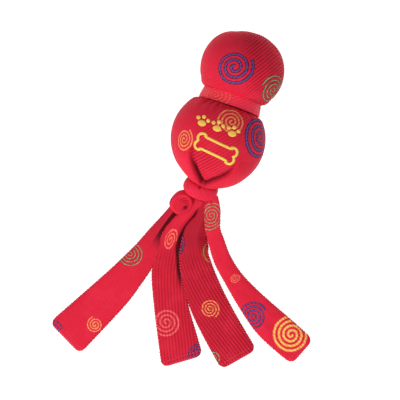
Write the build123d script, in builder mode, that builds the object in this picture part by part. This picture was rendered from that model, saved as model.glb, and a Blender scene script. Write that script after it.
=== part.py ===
"""Cloth toss-and-tug dog toy: two balls in a sewn cloth cover, a knot below them and four cloth tails.

The toy lies on a table. +Z is up, +Y runs from the tails to the head, and the origin is on the
table, under the middle of the toy's box. Millimetres.

Everything is drawn about the plan position of the torso ball, and each finished piece is then
moved to its place in the row frame.
"""

import os
from math import acos, asin, atan2, cos, degrees, hypot, radians, sin, sqrt

from build123d import *

os.makedirs("parts", exist_ok=True)

# ---------------------------------------------------------------- driving dimensions
GAP = 0.3  # clearance between neighbouring pieces of cloth

TORSO_R = 40.6  # outside of the torso cover
TORSO_CLOTH = 1.6  # one ply of ribbed cloth
LINING_CLOTH = 1.4
PLY_CLEARANCE = 0.2
HEAD_R = 36.5  # outside of the head cover
HEAD_CLOTH = 2.8  # two plies, sewn as one
BALL_SPACING = 62.5  # torso centre to head centre

HEAD_BALL_R = 33.0  # a tennis ball, over the felt
FELT = 2.6
FELT_CLEARANCE = 0.15
CORE_WALL = 3.3
FELT_SEAM_R = 1.4

SQUEAKER_BALL_R = 36.6  # the soft ball, squashed by its cover
SQUEAKER_BALL_HALF_LENGTH = 30.5
SQUEAKER_BALL_SIDE_R = 26.0  # the rounding of its squashed sides
SQUEAKER_BALL_DROP = 3.3  # its centre lies this far behind the torso centre
SQUEAKER_BALL_WALL = 2.4
SQUEAKER_R = 8.0
SQUEAKER_FLANGE_R = 9.8
SQUEAKER_FLANGE = 1.2
SQUEAKER_DEPTH = 12.0
SQUEAKER_WALL = 1.1

COLLAR_START = 29.2  # the neck band, along the spine from the torso centre
COLLAR_END = 40.0
COLLAR_R = 26.6
COLLAR_CLOTH = 1.8
COLLAR_LAP = 1.0  # thickness of the strap's free end

SEAM_GAP = 1.6  # between two panels, where the seam thread lies
THREAD_R = 0.6
FLAP_CLOTH = 1.5

KNOT_DROOP = 19.6  # degrees, below the horizontal
COVER_TIP_R = 11.5  # the torso cover's lower mouth
COVER_TIP = 43.0  # and its distance from the torso centre
BUNDLE_R = 7.9
BUNDLE_START = 37.5
KNOT_R = 15.0
KNOT_START = 43.6
KNOT_END = 53.5

EMBROIDERY = 0.7  # how far the thread stands out
EMBROIDERY_CLEARANCE = 0.02
STITCH_LINE = 2.2
BONE_HALF = 13.5
BONE_KNOB = 3.7
BONE_KNOB_SPREAD = 3.1
BONE_SHAFT = 5.4
BONE_Y = -6.5
PAW_Y = 9.5
PAW_XS = (-17.0, -3.5, 10.0)

PLY = 1.8  # one layer of a tail
PLY_GAP = 0.2
HINGE_GAP = 2.3  # from a fold line to the end of each link
ROOT_Y = -58.0  # the line about which the tails lift
ROOT_Z = 18.9
FOLD_Y = -104.0  # the line about which they fold
TAIL_CORNER = 6.0
HEM_INSET = 4.5
HEM_PITCH = 3.2
HEM_THREAD = 0.8
FAN_START = -50.7  # the cloth fans out from the knot to the tails' roots
FAN_END = -54.6
FAN_HALF_START = 13.0
FAN_HALF_END = 21.5
FAN_DEPTH = 6.0

# Each tail's centre line in plan, from the knot to the free end: x, y, width.
TAILS = {
    "tail_1": [
        (-16.5, -59, 9),
        (-17.2, -72, 7.5),
        (-22, -84, 8.5),
        (-27, -97, 12.5),
        (-30, -113, 19),
        (-35.5, -131, 27),
        (-45.5, -158, 32),
        (-66, -201, 35),
    ],
    "tail_2": [
        (-5.6, -59, 9.5),
        (-6.6, -72, 11),
        (-9.6, -85, 14),
        (-10.2, -99, 17.5),
        (-7.2, -113, 20.5),
        (-1.5, -128, 23.5),
        (13, -155, 28.5),
        (31, -187, 35),
    ],
    "tail_3": [
        (5.6, -59, 9.5),
        (7.4, -74, 10),
        (10.6, -88, 14.5),
        (16, -103, 21),
        (26, -119, 25.5),
        (40, -136, 29.5),
        (56, -152, 32),
        (78, -171, 34),
    ],
    "tail_4": [
        (17, -59, 11),
        (20.5, -72, 12),
        (27.5, -84, 13),
        (39, -97, 14),
        (54, -108.5, 16.5),
        (73, -119, 20.5),
        (94, -130, 24.5),
        (126, -147, 28),
    ],
}

# The plan corners of the two flaps of cover cloth that are drawn from the sides into the knot.
FLAPS = {
    "torso_flap_left": [(-19, -15), (-45, -1), (-45, -41), (0.2, -41)],
    "torso_flap_right": [(21.5, -14), (46, -2), (46, -41), (0.8, -41)],
}

# Where the torso centre stands in the row frame.
TORSO_X = -25.63
TORSO_Y = 53.83

# ---------------------------------------------------------------- derived places
FAR = 260.0  # longer than anything here
TORSO = Vector(0, 0, TORSO_R)
SPINE_PITCH = asin((TORSO_R - HEAD_R) / BALL_SPACING)
SPINE = Vector(0, cos(SPINE_PITCH), -sin(SPINE_PITCH))
HEAD = TORSO + SPINE * BALL_SPACING
KNOT_AXIS = Vector(0, -cos(radians(KNOT_DROOP)), -sin(radians(KNOT_DROOP)))
ACROSS = Vector(1, 0, 0)

# Local z runs along the axis.
SPINE_PLANE = Plane(origin=TORSO, x_dir=ACROSS, z_dir=SPINE)
HEAD_PLANE = Plane(origin=HEAD, x_dir=ACROSS, z_dir=SPINE)
KNOT_PLANE = Plane(origin=TORSO, x_dir=ACROSS, z_dir=KNOT_AXIS)

# Local x is the radius and local y the distance along the axis.
KNOT_PROFILE = Plane(origin=TORSO, x_dir=ACROSS, z_dir=ACROSS.cross(KNOT_AXIS))
SPINE_AXIS = Axis(TORSO, SPINE)
KNOT_LINE = Axis(TORSO, KNOT_AXIS)

# Looks down on the toy, level with the spine.
SPINE_TOP = Plane(origin=TORSO, x_dir=ACROSS, z_dir=ACROSS.cross(SPINE))
HEAD_TOP = Plane(origin=HEAD, x_dir=ACROSS, z_dir=ACROSS.cross(SPINE))

FOLD_Z = PLY + PLY_GAP / 2
LINK_SLOPE = degrees(atan2(ROOT_Z - FOLD_Z, ROOT_Y - FOLD_Y))
LINK_LENGTH = hypot(ROOT_Y - FOLD_Y, ROOT_Z - FOLD_Z)

ROW_PLACE = Location((TORSO_X, TORSO_Y, 0))


def save(piece, name):
    """Moves a finished piece to the row frame, names it and writes its STEP."""
    placed = piece.moved(ROW_PLACE)
    placed.label = name
    export_step(placed, f"parts/{name}.step")


# ---------------------------------------------------------------- head ball: a tennis ball
def make_ball_core():
    """The hollow rubber core."""
    with BuildPart(HEAD_PLANE) as core:
        Sphere(HEAD_BALL_R - FELT - FELT_CLEARANCE)
        Sphere(HEAD_BALL_R - FELT - CORE_WALL, mode=Mode.SUBTRACT)
    return core.part


def make_ball_seam():
    """The rubber seam between the felt panels: four half circles, each tangent to the next."""
    arc_r = (HEAD_BALL_R - FELT / 2) / sqrt(2)
    with BuildPart() as seam:
        for side in (1, -1):
            with BuildSketch(Plane.XY):
                with Locations((side * arc_r, -arc_r)):
                    Circle(FELT_SEAM_R)
            revolve(axis=Axis((0, 0, 0), (1, 0, 0)), revolution_arc=180)
            with BuildSketch(Plane.XY):
                with Locations((-arc_r, side * arc_r)):
                    Circle(FELT_SEAM_R)
            revolve(axis=Axis((0, 0, 0), (0, 1, 0)), revolution_arc=180)
    return seam.part.moved(HEAD_PLANE.location)


def make_ball_felt(seam):
    """The felt, which the seam parts into two equal panels."""
    with BuildPart() as felt:
        with Locations(HEAD_PLANE):
            Sphere(HEAD_BALL_R)
            Sphere(HEAD_BALL_R - FELT, mode=Mode.SUBTRACT)
        add(seam, mode=Mode.SUBTRACT)
    return felt.part


# ---------------------------------------------------------------- head cover
def make_head_panel():
    """The front half of the head's cloth, which faces up."""
    rim = COLLAR_END + GAP - BALL_SPACING
    with BuildPart() as panel:
        with Locations(HEAD_PLANE):
            Sphere(HEAD_R)
            Sphere(HEAD_R - HEAD_CLOTH, mode=Mode.SUBTRACT)
        split(bisect_by=HEAD_PLANE.offset(rim), keep=Keep.TOP)
        split(bisect_by=HEAD_TOP.offset(SEAM_GAP / 2), keep=Keep.TOP)
    return panel.part


def make_head_seam():
    """The thread between the two halves, from the collar over the crown and back to it."""
    ring_r = HEAD_R - THREAD_R - 0.1
    below = asin((BALL_SPACING - COLLAR_END - GAP) / ring_r) - radians(2)
    start = HEAD + (ACROSS * cos(below) - SPINE * sin(below)) * ring_r
    onward = ACROSS * sin(below) + SPINE * cos(below)
    with BuildPart() as seam:
        with BuildSketch(Plane(origin=start, z_dir=onward)):
            Circle(THREAD_R)
        revolve(axis=Axis(HEAD, HEAD_TOP.z_dir), revolution_arc=180 + 2 * degrees(below))
    return seam.part


# ---------------------------------------------------------------- collar
def make_collar():
    """The neck band, a flat strap of folded cloth."""
    with BuildPart() as collar:
        with BuildSketch(SPINE_PLANE.offset(COLLAR_START)):
            Circle(COLLAR_R)
            Circle(COLLAR_R - COLLAR_CLOTH, mode=Mode.SUBTRACT)
        extrude(amount=COLLAR_END - COLLAR_START)
        fillet(collar.edges().filter_by(GeomType.CIRCLE), 0.5)
    return collar.part


def make_collar_lap():
    """The strap's free end, sewn flat over the band at the back of the neck."""
    margin = 0.6
    half_width = 7.0
    inside = COLLAR_R + 0.02
    with BuildPart() as lap:
        with BuildSketch(SPINE_PLANE.offset(COLLAR_START + margin)):
            Circle(inside + COLLAR_LAP)
            Circle(inside, mode=Mode.SUBTRACT)
            with Locations((0, COLLAR_R)):
                Rectangle(2 * half_width, COLLAR_R, mode=Mode.INTERSECT)
        extrude(amount=COLLAR_END - COLLAR_START - 2 * margin)
    return lap.part


# ---------------------------------------------------------------- torso cover
def onion(radius, tip_r, tip):
    """A ball about the torso centre, drawn out along the knot's axis to a round tip."""
    touch = atan2(tip_r, tip) + acos(radius / hypot(tip_r, tip))
    touch_point = (radius * sin(touch), radius * cos(touch))
    with BuildPart() as body:
        with BuildSketch(KNOT_PROFILE):
            with BuildLine():
                ThreePointArc((0, -radius), (radius, 0), touch_point)
                Polyline(touch_point, (tip_r, tip), (0, tip), (0, -radius))
            make_face()
        revolve(axis=KNOT_LINE)
    return body.part


def torso_shell(outside, cloth):
    """One layer of torso cloth, open at the neck and at its lower tip."""
    inset = TORSO_R - outside
    body = onion(outside, COVER_TIP_R - inset, COVER_TIP)
    hollow = onion(outside - cloth, COVER_TIP_R - inset - cloth, COVER_TIP + 1)
    with BuildPart() as shell:
        add(body)
        add(hollow, mode=Mode.SUBTRACT)
        split(bisect_by=SPINE_PLANE.offset(COLLAR_START - GAP), keep=Keep.BOTTOM)
    return shell.part


def make_torso_panel(shell, side):
    """The shell above (side 1) or below (side -1) the bent line of its two side seams."""
    shift = side * SEAM_GAP / 2
    neck = TORSO + SPINE * FAR
    tip = TORSO + KNOT_AXIS * FAR
    with BuildPart() as panel:
        add(shell)
        with BuildSketch(Plane.YZ):
            with BuildLine():
                Polyline(
                    (TORSO.Y, TORSO.Z + shift),
                    (neck.Y, neck.Z + shift),
                    (neck.Y, TORSO.Z + side * FAR),
                    (tip.Y, TORSO.Z + side * FAR),
                    (tip.Y, tip.Z + shift),
                    close=True,
                )
            make_face()
        extrude(amount=2 * TORSO_R, both=True, mode=Mode.INTERSECT)
    return panel.part


def make_torso_seams():
    """The two lines of side seam thread, from under the collar to where the cover narrows."""
    ring_r = TORSO_R - THREAD_R - 0.1
    above = degrees(asin((COLLAR_START - GAP) / ring_r)) - 1
    below = 50
    knot_top = ACROSS.cross(KNOT_AXIS)
    with BuildPart() as seams:
        for side in (1, -1):
            with BuildSketch(Plane(origin=TORSO + ACROSS * side * ring_r, z_dir=SPINE)):
                Circle(THREAD_R)
            revolve(axis=Axis(TORSO, SPINE_TOP.z_dir * side), revolution_arc=above)
            with BuildSketch(Plane(origin=TORSO + ACROSS * side * ring_r, z_dir=KNOT_AXIS)):
                Circle(THREAD_R)
            revolve(axis=Axis(TORSO, knot_top * side), revolution_arc=below)
    return seams.part


def make_flap(corners):
    """A fold of cover cloth that lies over the front panel and leads into the knot."""
    low = PLY_CLEARANCE
    high = PLY_CLEARANCE + FLAP_CLOTH
    body = onion(TORSO_R + high, COVER_TIP_R + high, COVER_TIP)
    hollow = onion(TORSO_R + low, COVER_TIP_R + low, COVER_TIP + 1)
    with BuildPart() as flap:
        with BuildSketch(Plane.XY.offset(TORSO_R - 18)):
            with BuildLine():
                Polyline(*corners, close=True)
            make_face()
        extrude(amount=2 * TORSO_R)
        add(body, mode=Mode.INTERSECT)
        add(hollow, mode=Mode.SUBTRACT)
    return flap.part


# ---------------------------------------------------------------- squeaker ball
SQUEAKER_BALL = TORSO - SPINE * SQUEAKER_BALL_DROP
SQUEAKER_MOUTH = Plane(
    origin=SQUEAKER_BALL - SPINE * SQUEAKER_BALL_HALF_LENGTH, x_dir=ACROSS, z_dir=SPINE
)
CUP_BASE = SQUEAKER_MOUTH.offset(-SQUEAKER_FLANGE - 0.1)


def make_squeaker_ball():
    """The soft hollow ball, with a round hole for the squeaker at its lower pole.

    Its section is an oval: a small arc at the side, tangent to a large one over each pole.
    """
    profile = Plane(origin=SQUEAKER_BALL, x_dir=ACROSS, z_dir=ACROSS.cross(SPINE))
    side_x = SQUEAKER_BALL_R - SQUEAKER_BALL_SIDE_R
    rise = SQUEAKER_BALL_HALF_LENGTH - SQUEAKER_BALL_SIDE_R
    pole_y = (side_x**2 - rise**2) / (2 * rise)
    touch = Vector(side_x, pole_y).normalized()
    with BuildPart() as ball:
        for shrink, mode in ((0, Mode.ADD), (SQUEAKER_BALL_WALL, Mode.SUBTRACT)):
            pole_r = SQUEAKER_BALL_HALF_LENGTH - shrink + pole_y
            x, y = pole_r * touch.X, pole_r * touch.Y - pole_y
            turn = atan2(touch.X, touch.Y) / 2
            cap = (pole_r * sin(turn), pole_r * cos(turn) - pole_y)
            with BuildSketch(profile):
                with BuildLine():
                    ThreePointArc((0, pole_r - pole_y), cap, (x, y))
                    ThreePointArc((x, y), (SQUEAKER_BALL_R - shrink, 0), (x, -y))
                    ThreePointArc((x, -y), (cap[0], -cap[1]), (0, pole_y - pole_r))
                    Line((0, pole_y - pole_r), (0, pole_r - pole_y))
                make_face()
            revolve(axis=SPINE_AXIS, mode=mode)
        with BuildSketch(CUP_BASE):
            Circle(SQUEAKER_R + 0.1)
        extrude(amount=SQUEAKER_BALL_HALF_LENGTH, mode=Mode.SUBTRACT)
    return ball.part


def make_squeaker_cup():
    """The squeaker's plastic cup, pushed in from outside; its floor has the sound hole."""
    with BuildPart() as cup:
        with BuildSketch(CUP_BASE):
            Circle(SQUEAKER_FLANGE_R)
        extrude(amount=SQUEAKER_FLANGE)
        with BuildSketch(CUP_BASE):
            Circle(SQUEAKER_R)
        extrude(amount=SQUEAKER_DEPTH)
        with BuildSketch(CUP_BASE.offset(SQUEAKER_WALL)):
            Circle(SQUEAKER_R - SQUEAKER_WALL)
        extrude(amount=SQUEAKER_DEPTH, mode=Mode.SUBTRACT)
        with BuildSketch(CUP_BASE):
            Circle(1.5)
        extrude(amount=SQUEAKER_DEPTH / 2, mode=Mode.SUBTRACT)
    return cup.part


def make_squeaker_lid():
    """The perforated disc that closes the cup inside the ball."""
    with BuildPart() as lid:
        with BuildSketch(CUP_BASE.offset(SQUEAKER_DEPTH)):
            Circle(SQUEAKER_R)
            with PolarLocations(4.2, 6):
                Circle(0.9, mode=Mode.SUBTRACT)
        extrude(amount=1.2)
    return lid.part


def make_squeaker_reed():
    """The tongue that sounds."""
    with BuildPart() as reed:
        with BuildSketch(CUP_BASE.offset(SQUEAKER_WALL)):
            with Locations((0, 2.9)):
                Rectangle(4.6, 0.3)
        extrude(amount=9.5)
    return reed.part


def make_reed_holder():
    """The half-round holder that the tongue lies on."""
    with BuildPart() as holder:
        with BuildSketch(CUP_BASE.offset(SQUEAKER_WALL)):
            with BuildLine():
                flat = Line((-2.6, 3.1), (2.6, 3.1))
                ThreePointArc(flat @ 0, (0, 5.6), flat @ 1)
            make_face()
        extrude(amount=8.5)
    return holder.part


# ---------------------------------------------------------------- embroidery on the front
def on_torso_skin(plan):
    """Lays a plan sketch on the front of the torso as raised thread."""
    with BuildPart() as raised:
        with BuildSketch(Plane.XY.offset(TORSO_R)):
            add(plan)
        extrude(amount=2 * TORSO_R)
        with Locations(TORSO):
            Sphere(TORSO_R + EMBROIDERY, mode=Mode.INTERSECT)
            Sphere(TORSO_R + EMBROIDERY_CLEARANCE, mode=Mode.SUBTRACT)
    return raised.part


def bone_shape(grow):
    """A dog bone in outline, grown or shrunk by grow."""
    with BuildSketch() as bone:
        with Locations((0, BONE_Y)):
            Rectangle(2 * BONE_HALF, BONE_SHAFT + 2 * grow)
            with GridLocations(2 * BONE_HALF, 2 * BONE_KNOB_SPREAD, 2, 2):
                Circle(BONE_KNOB + grow)
    return bone.sketch


def make_embroidered_bone():
    """The bone's satin-stitch outline."""
    outer = bone_shape(STITCH_LINE / 2)
    inner = bone_shape(-STITCH_LINE / 2)
    with BuildSketch() as line:
        add(outer)
        add(inner, mode=Mode.SUBTRACT)
    return on_torso_skin(line.sketch)


def make_embroidered_paws():
    """Three small paw prints in a row above the bone, all pads separate."""
    with BuildSketch() as paws:
        for x in PAW_XS:
            with Locations((x, PAW_Y)):
                Ellipse(2.9, 2.2)
            with Locations((x - 3.6, PAW_Y + 2.9), (x, PAW_Y + 4.6), (x + 3.6, PAW_Y + 2.9)):
                Circle(1.25)
    return on_torso_skin(paws.sketch)


# ---------------------------------------------------------------- knot
def make_knot_bundle():
    """The cover's gathered cloth, from inside its tip through the knot."""
    with BuildPart() as bundle:
        with BuildSketch(KNOT_PLANE.offset(BUNDLE_START)):
            Circle(BUNDLE_R)
        extrude(amount=KNOT_END - BUNDLE_START)
        fillet(bundle.edges().filter_by(GeomType.CIRCLE), 2.5)
    return bundle.part


def make_knot_wrap():
    """The cloth wound round the bundle."""
    inner = BUNDLE_R + GAP
    with BuildPart() as wrap:
        with BuildSketch(KNOT_PROFILE):
            with Locations(((KNOT_R + inner) / 2, (KNOT_START + KNOT_END) / 2)):
                RectangleRounded(KNOT_R - inner, KNOT_END - KNOT_START, 3.0)
        revolve(axis=KNOT_LINE)
    return wrap.part


def make_knot_fan():
    """The cloth that fans out from the knot to the roots of the four tails."""
    with BuildPart() as fan:
        with BuildSketch(Plane.XY.offset(ROOT_Z - FAN_DEPTH / 2)):
            with BuildLine():
                Polyline(
                    (-FAN_HALF_START, FAN_START),
                    (FAN_HALF_START, FAN_START),
                    (FAN_HALF_END, FAN_END),
                    (-FAN_HALF_END, FAN_END),
                    close=True,
                )
            make_face()
        extrude(amount=FAN_DEPTH)
        fillet(fan.edges().filter_by(Axis.Z), 1.0)
    return fan.part


# ---------------------------------------------------------------- tails
def tail_outline(stations):
    """A tail's plan, from its centre line and widths, with its two free corners rounded."""
    left, right = [], []
    last = len(stations) - 1
    for i, (x, y, width) in enumerate(stations):
        x0, y0, _ = stations[max(i - 1, 0)]
        x1, y1, _ = stations[min(i + 1, last)]
        run = hypot(x1 - x0, y1 - y0)
        across_x, across_y = -(y1 - y0) / run, (x1 - x0) / run
        left.append((x - across_x * width / 2, y - across_y * width / 2))
        right.append((x + across_x * width / 2, y + across_y * width / 2))
    with BuildSketch() as outline:
        with BuildLine():
            Spline(*left)
            Spline(*right)
            Line(left[0], right[0])
            Line(left[-1], right[-1])
        make_face()
        fillet(outline.vertices().sort_by_distance(stations[-1][:2])[:2], TAIL_CORNER)
    return outline.sketch


def make_ply(outline, hinge, length, low, high):
    """One layer of a link: the plan cut by a slab that hangs from the hinge line."""
    with BuildPart() as ply:
        with BuildSketch(Plane.XY):
            add(outline)
        extrude(amount=2 * ROOT_Z)
        with BuildSketch(hinge.offset(low)):
            with Locations((0, -(HINGE_GAP + length) / 2)):
                Rectangle(2 * FAR, length - HINGE_GAP)
        extrude(amount=high - low, mode=Mode.INTERSECT)
    return ply.part


def make_hem(stations):
    """The row of stitches across a tail's free end, lying on its upper layer."""
    (x0, y0, _), (x1, y1, width) = stations[-2], stations[-1]
    along = Vector(x1 - x0, y1 - y0).normalized()
    row = Vector(x1, y1) - along * HEM_INSET
    count = int((width - 2 * TAIL_CORNER) / HEM_PITCH) + 1
    top = Plane(
        origin=(row.X, row.Y, 2 * PLY + PLY_GAP), x_dir=(along.Y, -along.X, 0), z_dir=(0, 0, 1)
    )
    with BuildPart() as hem:
        with BuildSketch(top):
            with GridLocations(HEM_PITCH, 1, count, 1):
                SlotOverall(HEM_PITCH * 0.72, HEM_THREAD)
        extrude(amount=HEM_THREAD / 2)
    return hem.part


def save_tail(name, stations):
    """A tail is two layers of cloth; each is a link that lifts at the knot and one that folds."""
    outline = tail_outline(stations)
    lift = Plane((0, ROOT_Y, ROOT_Z), x_dir=ACROSS, z_dir=(0, 0, 1)).rotated((LINK_SLOPE, 0, 0))
    fold = Plane((0, FOLD_Y, FOLD_Z), x_dir=ACROSS, z_dir=(0, 0, 1))
    half = PLY_GAP / 2
    for link, hinge, length in (("upper", lift, LINK_LENGTH - HINGE_GAP), ("lower", fold, FAR)):
        face = make_ply(outline, hinge, length, half, half + PLY)
        save(face, f"{name}_{link}_face")
        back = make_ply(outline, hinge, length, -half - PLY, -half)
        save(back, f"{name}_{link}_back")
    save(make_hem(stations), f"{name}_hem_stitches")


# ---------------------------------------------------------------- the whole toy
ball_seam = make_ball_seam()
ball_felt = make_ball_felt(ball_seam).solids().sort_by(Axis.Y)
save(make_ball_core(), "head_ball_core")
save(ball_seam, "head_ball_seam")
save(ball_felt[0], "head_ball_felt_lower")
save(ball_felt[-1], "head_ball_felt_upper")

head_panel = make_head_panel()
save(head_panel, "head_panel_front")
save(mirror(head_panel, about=HEAD_TOP), "head_panel_back")
save(make_head_seam(), "head_seam_thread")

save(make_collar(), "neck_collar")
save(make_collar_lap(), "neck_collar_lap")

outer_shell = torso_shell(TORSO_R, TORSO_CLOTH)
save(make_torso_panel(outer_shell, 1), "torso_panel_front")
save(make_torso_panel(outer_shell, -1), "torso_panel_back")
save(torso_shell(TORSO_R - TORSO_CLOTH - PLY_CLEARANCE, LINING_CLOTH), "torso_lining")
save(make_torso_seams(), "torso_seam_thread")
for flap_name, flap_corners in FLAPS.items():
    save(make_flap(flap_corners), flap_name)

save(make_squeaker_ball(), "squeaker_ball")
save(make_squeaker_cup(), "squeaker_cup")
save(make_squeaker_lid(), "squeaker_lid")
save(make_squeaker_reed(), "squeaker_reed")
save(make_reed_holder(), "squeaker_reed_holder")

save(make_embroidered_bone(), "embroidered_bone")
save(make_embroidered_paws(), "embroidered_paws")

save(make_knot_bundle(), "knot_bundle")
save(make_knot_wrap(), "knot_wrap")
save(make_knot_fan(), "knot_fan")

for tail_name, tail_stations in TAILS.items():
    save_tail(tail_name, tail_stations)
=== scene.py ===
"""Looks of a cloth tug and toss toy: two cloth-covered balls, a neck band, a knot and four two-ply tails.

Every shape is worked out in toy millimetres: x and y from the torso ball's centre, z from the floor.
x is the toy's right, y runs up the spine to the head, and z is up from the face it lies on.
"""

import math
from types import SimpleNamespace

import bmesh
import bpy
import numpy as np
from mathutils import Matrix, Vector


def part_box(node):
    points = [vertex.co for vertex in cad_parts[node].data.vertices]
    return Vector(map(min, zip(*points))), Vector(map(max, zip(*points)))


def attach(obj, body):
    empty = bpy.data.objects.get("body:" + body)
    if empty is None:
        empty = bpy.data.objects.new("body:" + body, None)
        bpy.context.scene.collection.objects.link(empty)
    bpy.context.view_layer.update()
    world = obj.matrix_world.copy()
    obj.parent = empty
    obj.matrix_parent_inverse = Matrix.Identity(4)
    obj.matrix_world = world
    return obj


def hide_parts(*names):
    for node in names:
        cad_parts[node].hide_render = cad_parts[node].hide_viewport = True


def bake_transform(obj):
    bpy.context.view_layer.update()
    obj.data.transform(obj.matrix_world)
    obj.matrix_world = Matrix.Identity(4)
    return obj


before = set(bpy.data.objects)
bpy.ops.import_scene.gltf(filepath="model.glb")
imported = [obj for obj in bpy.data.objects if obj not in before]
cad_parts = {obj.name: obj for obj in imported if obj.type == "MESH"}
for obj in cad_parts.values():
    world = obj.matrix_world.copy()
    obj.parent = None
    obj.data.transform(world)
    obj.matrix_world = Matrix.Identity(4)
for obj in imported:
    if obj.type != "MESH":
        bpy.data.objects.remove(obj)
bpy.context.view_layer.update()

MM = 0.001
TAU = 2 * math.pi


def middle_of(node):
    low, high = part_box(node)
    return np.array((low + high) / 2) / MM


def span_of(*nodes):
    lows, highs = zip(*(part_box(n) for n in nodes))
    return np.min(lows, axis=0) / MM, np.max(highs, axis=0) / MM


# ---------------------------------------------------------------- the toy's frame, from the CAD
BALL = middle_of("squeaker_ball")
TORSO_LOW, TORSO_HIGH = span_of("torso_panel_front", "torso_panel_back")
TORSO_Y = 53.83  # the torso ball's centre in the part's own frame
ORIGIN = np.array([BALL[0], TORSO_Y, 0.0])
TORSO_R = (TORSO_HIGH[0] - TORSO_LOW[0]) / 2
TORSO = np.array([0.0, 0.0, TORSO_R])
SPINE_TILT = -math.radians(3.76)  # the head is the smaller ball, so the spine runs down to it
SPINE = np.array([0, math.cos(SPINE_TILT), math.sin(SPINE_TILT)])
HEAD_R, BALL_CLEAR = 36.5, 33.7  # the cover, and the nearest it comes to the centre over the ball inside
HEAD = TORSO + SPINE * 62.5
COLLAR_START, COLLAR_END, COLLAR_R = 29.2, 40.0, 26.6
DROOP = math.radians(19.6)
KNOT_AXIS = np.array([0, -math.cos(DROOP), -math.sin(DROOP)])
KNOT_UP = np.array([0, -math.sin(DROOP), math.cos(DROOP)])
RIGHT = np.array([1.0, 0, 0])
RIB = 2.7  # rib pitch of the woven cloth
# which way the ribs run on each ball, from the toy's right
HEAD_RIB, TORSO_RIB = math.radians(58), math.radians(49)
LINING_R, LINING_TOP, LINING_LOW = 37.6, 52, 160  # the bag, from one angle off the spine to the other
FLOOR_GAP = 0.25  # how far the covers stay above z = 0
# where the flat layouts of hidden cloth are put, so that they don't meet those of the front
BACK_CHART, UNDERSIDE = 500.0, 300

rng = np.random.default_rng(11)
WAVES, PHASES = rng.normal(size=(18, 3)), rng.uniform(0, TAU, 18)


# ---------------------------------------------------------------- maths
def ease(t):
    t = np.clip(t, 0, 1)
    return t * t * (3 - 2 * t)


def ramp(x, a, b):
    return ease((np.asarray(x, float) - a) / (b - a))


def wobble(p, size):
    """Smooth noise from about -1 to 1 whose bumps are about size across."""
    return np.sin(p @ (WAVES / size * 1.6).T + PHASES).sum(-1) / 5.0


def unit(v):
    return v / np.linalg.norm(v, axis=-1, keepdims=True)


def curve(points, n=40):
    """A Catmull-Rom line through the points, n steps to a span."""
    p = np.asarray(points, float)
    p = np.vstack([2 * p[0] - p[1], p, 2 * p[-1] - p[-2]])
    t = np.linspace(0, 1, n, endpoint=False)[:, None]
    out = []
    for a, b, c, d in zip(p, p[1:], p[2:], p[3:]):
        out.append(
            0.5
            * (2 * b + (c - a) * t + (2 * a - 5 * b + 4 * c - d) * t**2 + (3 * b - a - 3 * c + d) * t**3)
        )
    return np.vstack([*out, p[-2][None]])


def spaced(line, step, dims=None):
    """The line's points evenly spaced, and how far along each is."""
    q = line[:, :dims] if dims else line
    along = np.r_[0, np.cumsum(np.linalg.norm(np.diff(q, axis=0), axis=1))]
    n = max(2, int(round(along[-1] / step)) + 1)
    want = np.linspace(0, along[-1], n)
    return np.stack([np.interp(want, along, line[:, i]) for i in range(line.shape[1])], 1), want


def tilted(p, angle):
    """Points turned about X by angle, which may be one number for each point."""
    c, s = np.cos(angle), np.sin(angle)
    return np.stack([p[..., 0], p[..., 1] * c - p[..., 2] * s, p[..., 1] * s + p[..., 2] * c], -1)


def quads(rows, cols, wrap=True):
    i = np.arange(rows - 1)[:, None]
    j = np.arange(cols if wrap else cols - 1)[None, :]
    a, b = i * cols + j, i * cols + (j + 1) % cols
    return np.stack([a, b, b + cols, a + cols], -1).reshape(-1, 4).tolist()


def slab(rows, cols):
    """A sheet of two sides and the rim between them. The under side's points follow the upper side's."""
    sheet, half = quads(rows, cols, wrap=False), rows * cols
    rim = [i * cols for i in range(rows)] + [(rows - 1) * cols + j for j in range(1, cols)]
    rim += [i * cols + cols - 1 for i in range(rows - 2, -1, -1)] + list(range(cols - 2, 0, -1))
    edges = zip(rim, rim[1:] + rim[:1])
    return (
        sheet + [[k + half for k in f[::-1]] for f in sheet]
        + [[a, b, b + half, a + half] for a, b in edges]
    )


def closed(rows, cols):
    """A tube with a fan at each end. The two fans' middles follow its points, the first ring's first."""
    return quads(rows, cols) + cap(0, cols, rows * cols) + cap((rows - 1) * cols, cols, rows * cols + 1)


def cap(first, cols, centre):
    """A fan from the ring of cols points that starts at index first to the point centre."""
    return [[first + j, first + (j + 1) % cols, centre] for j in range(cols)]


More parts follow.
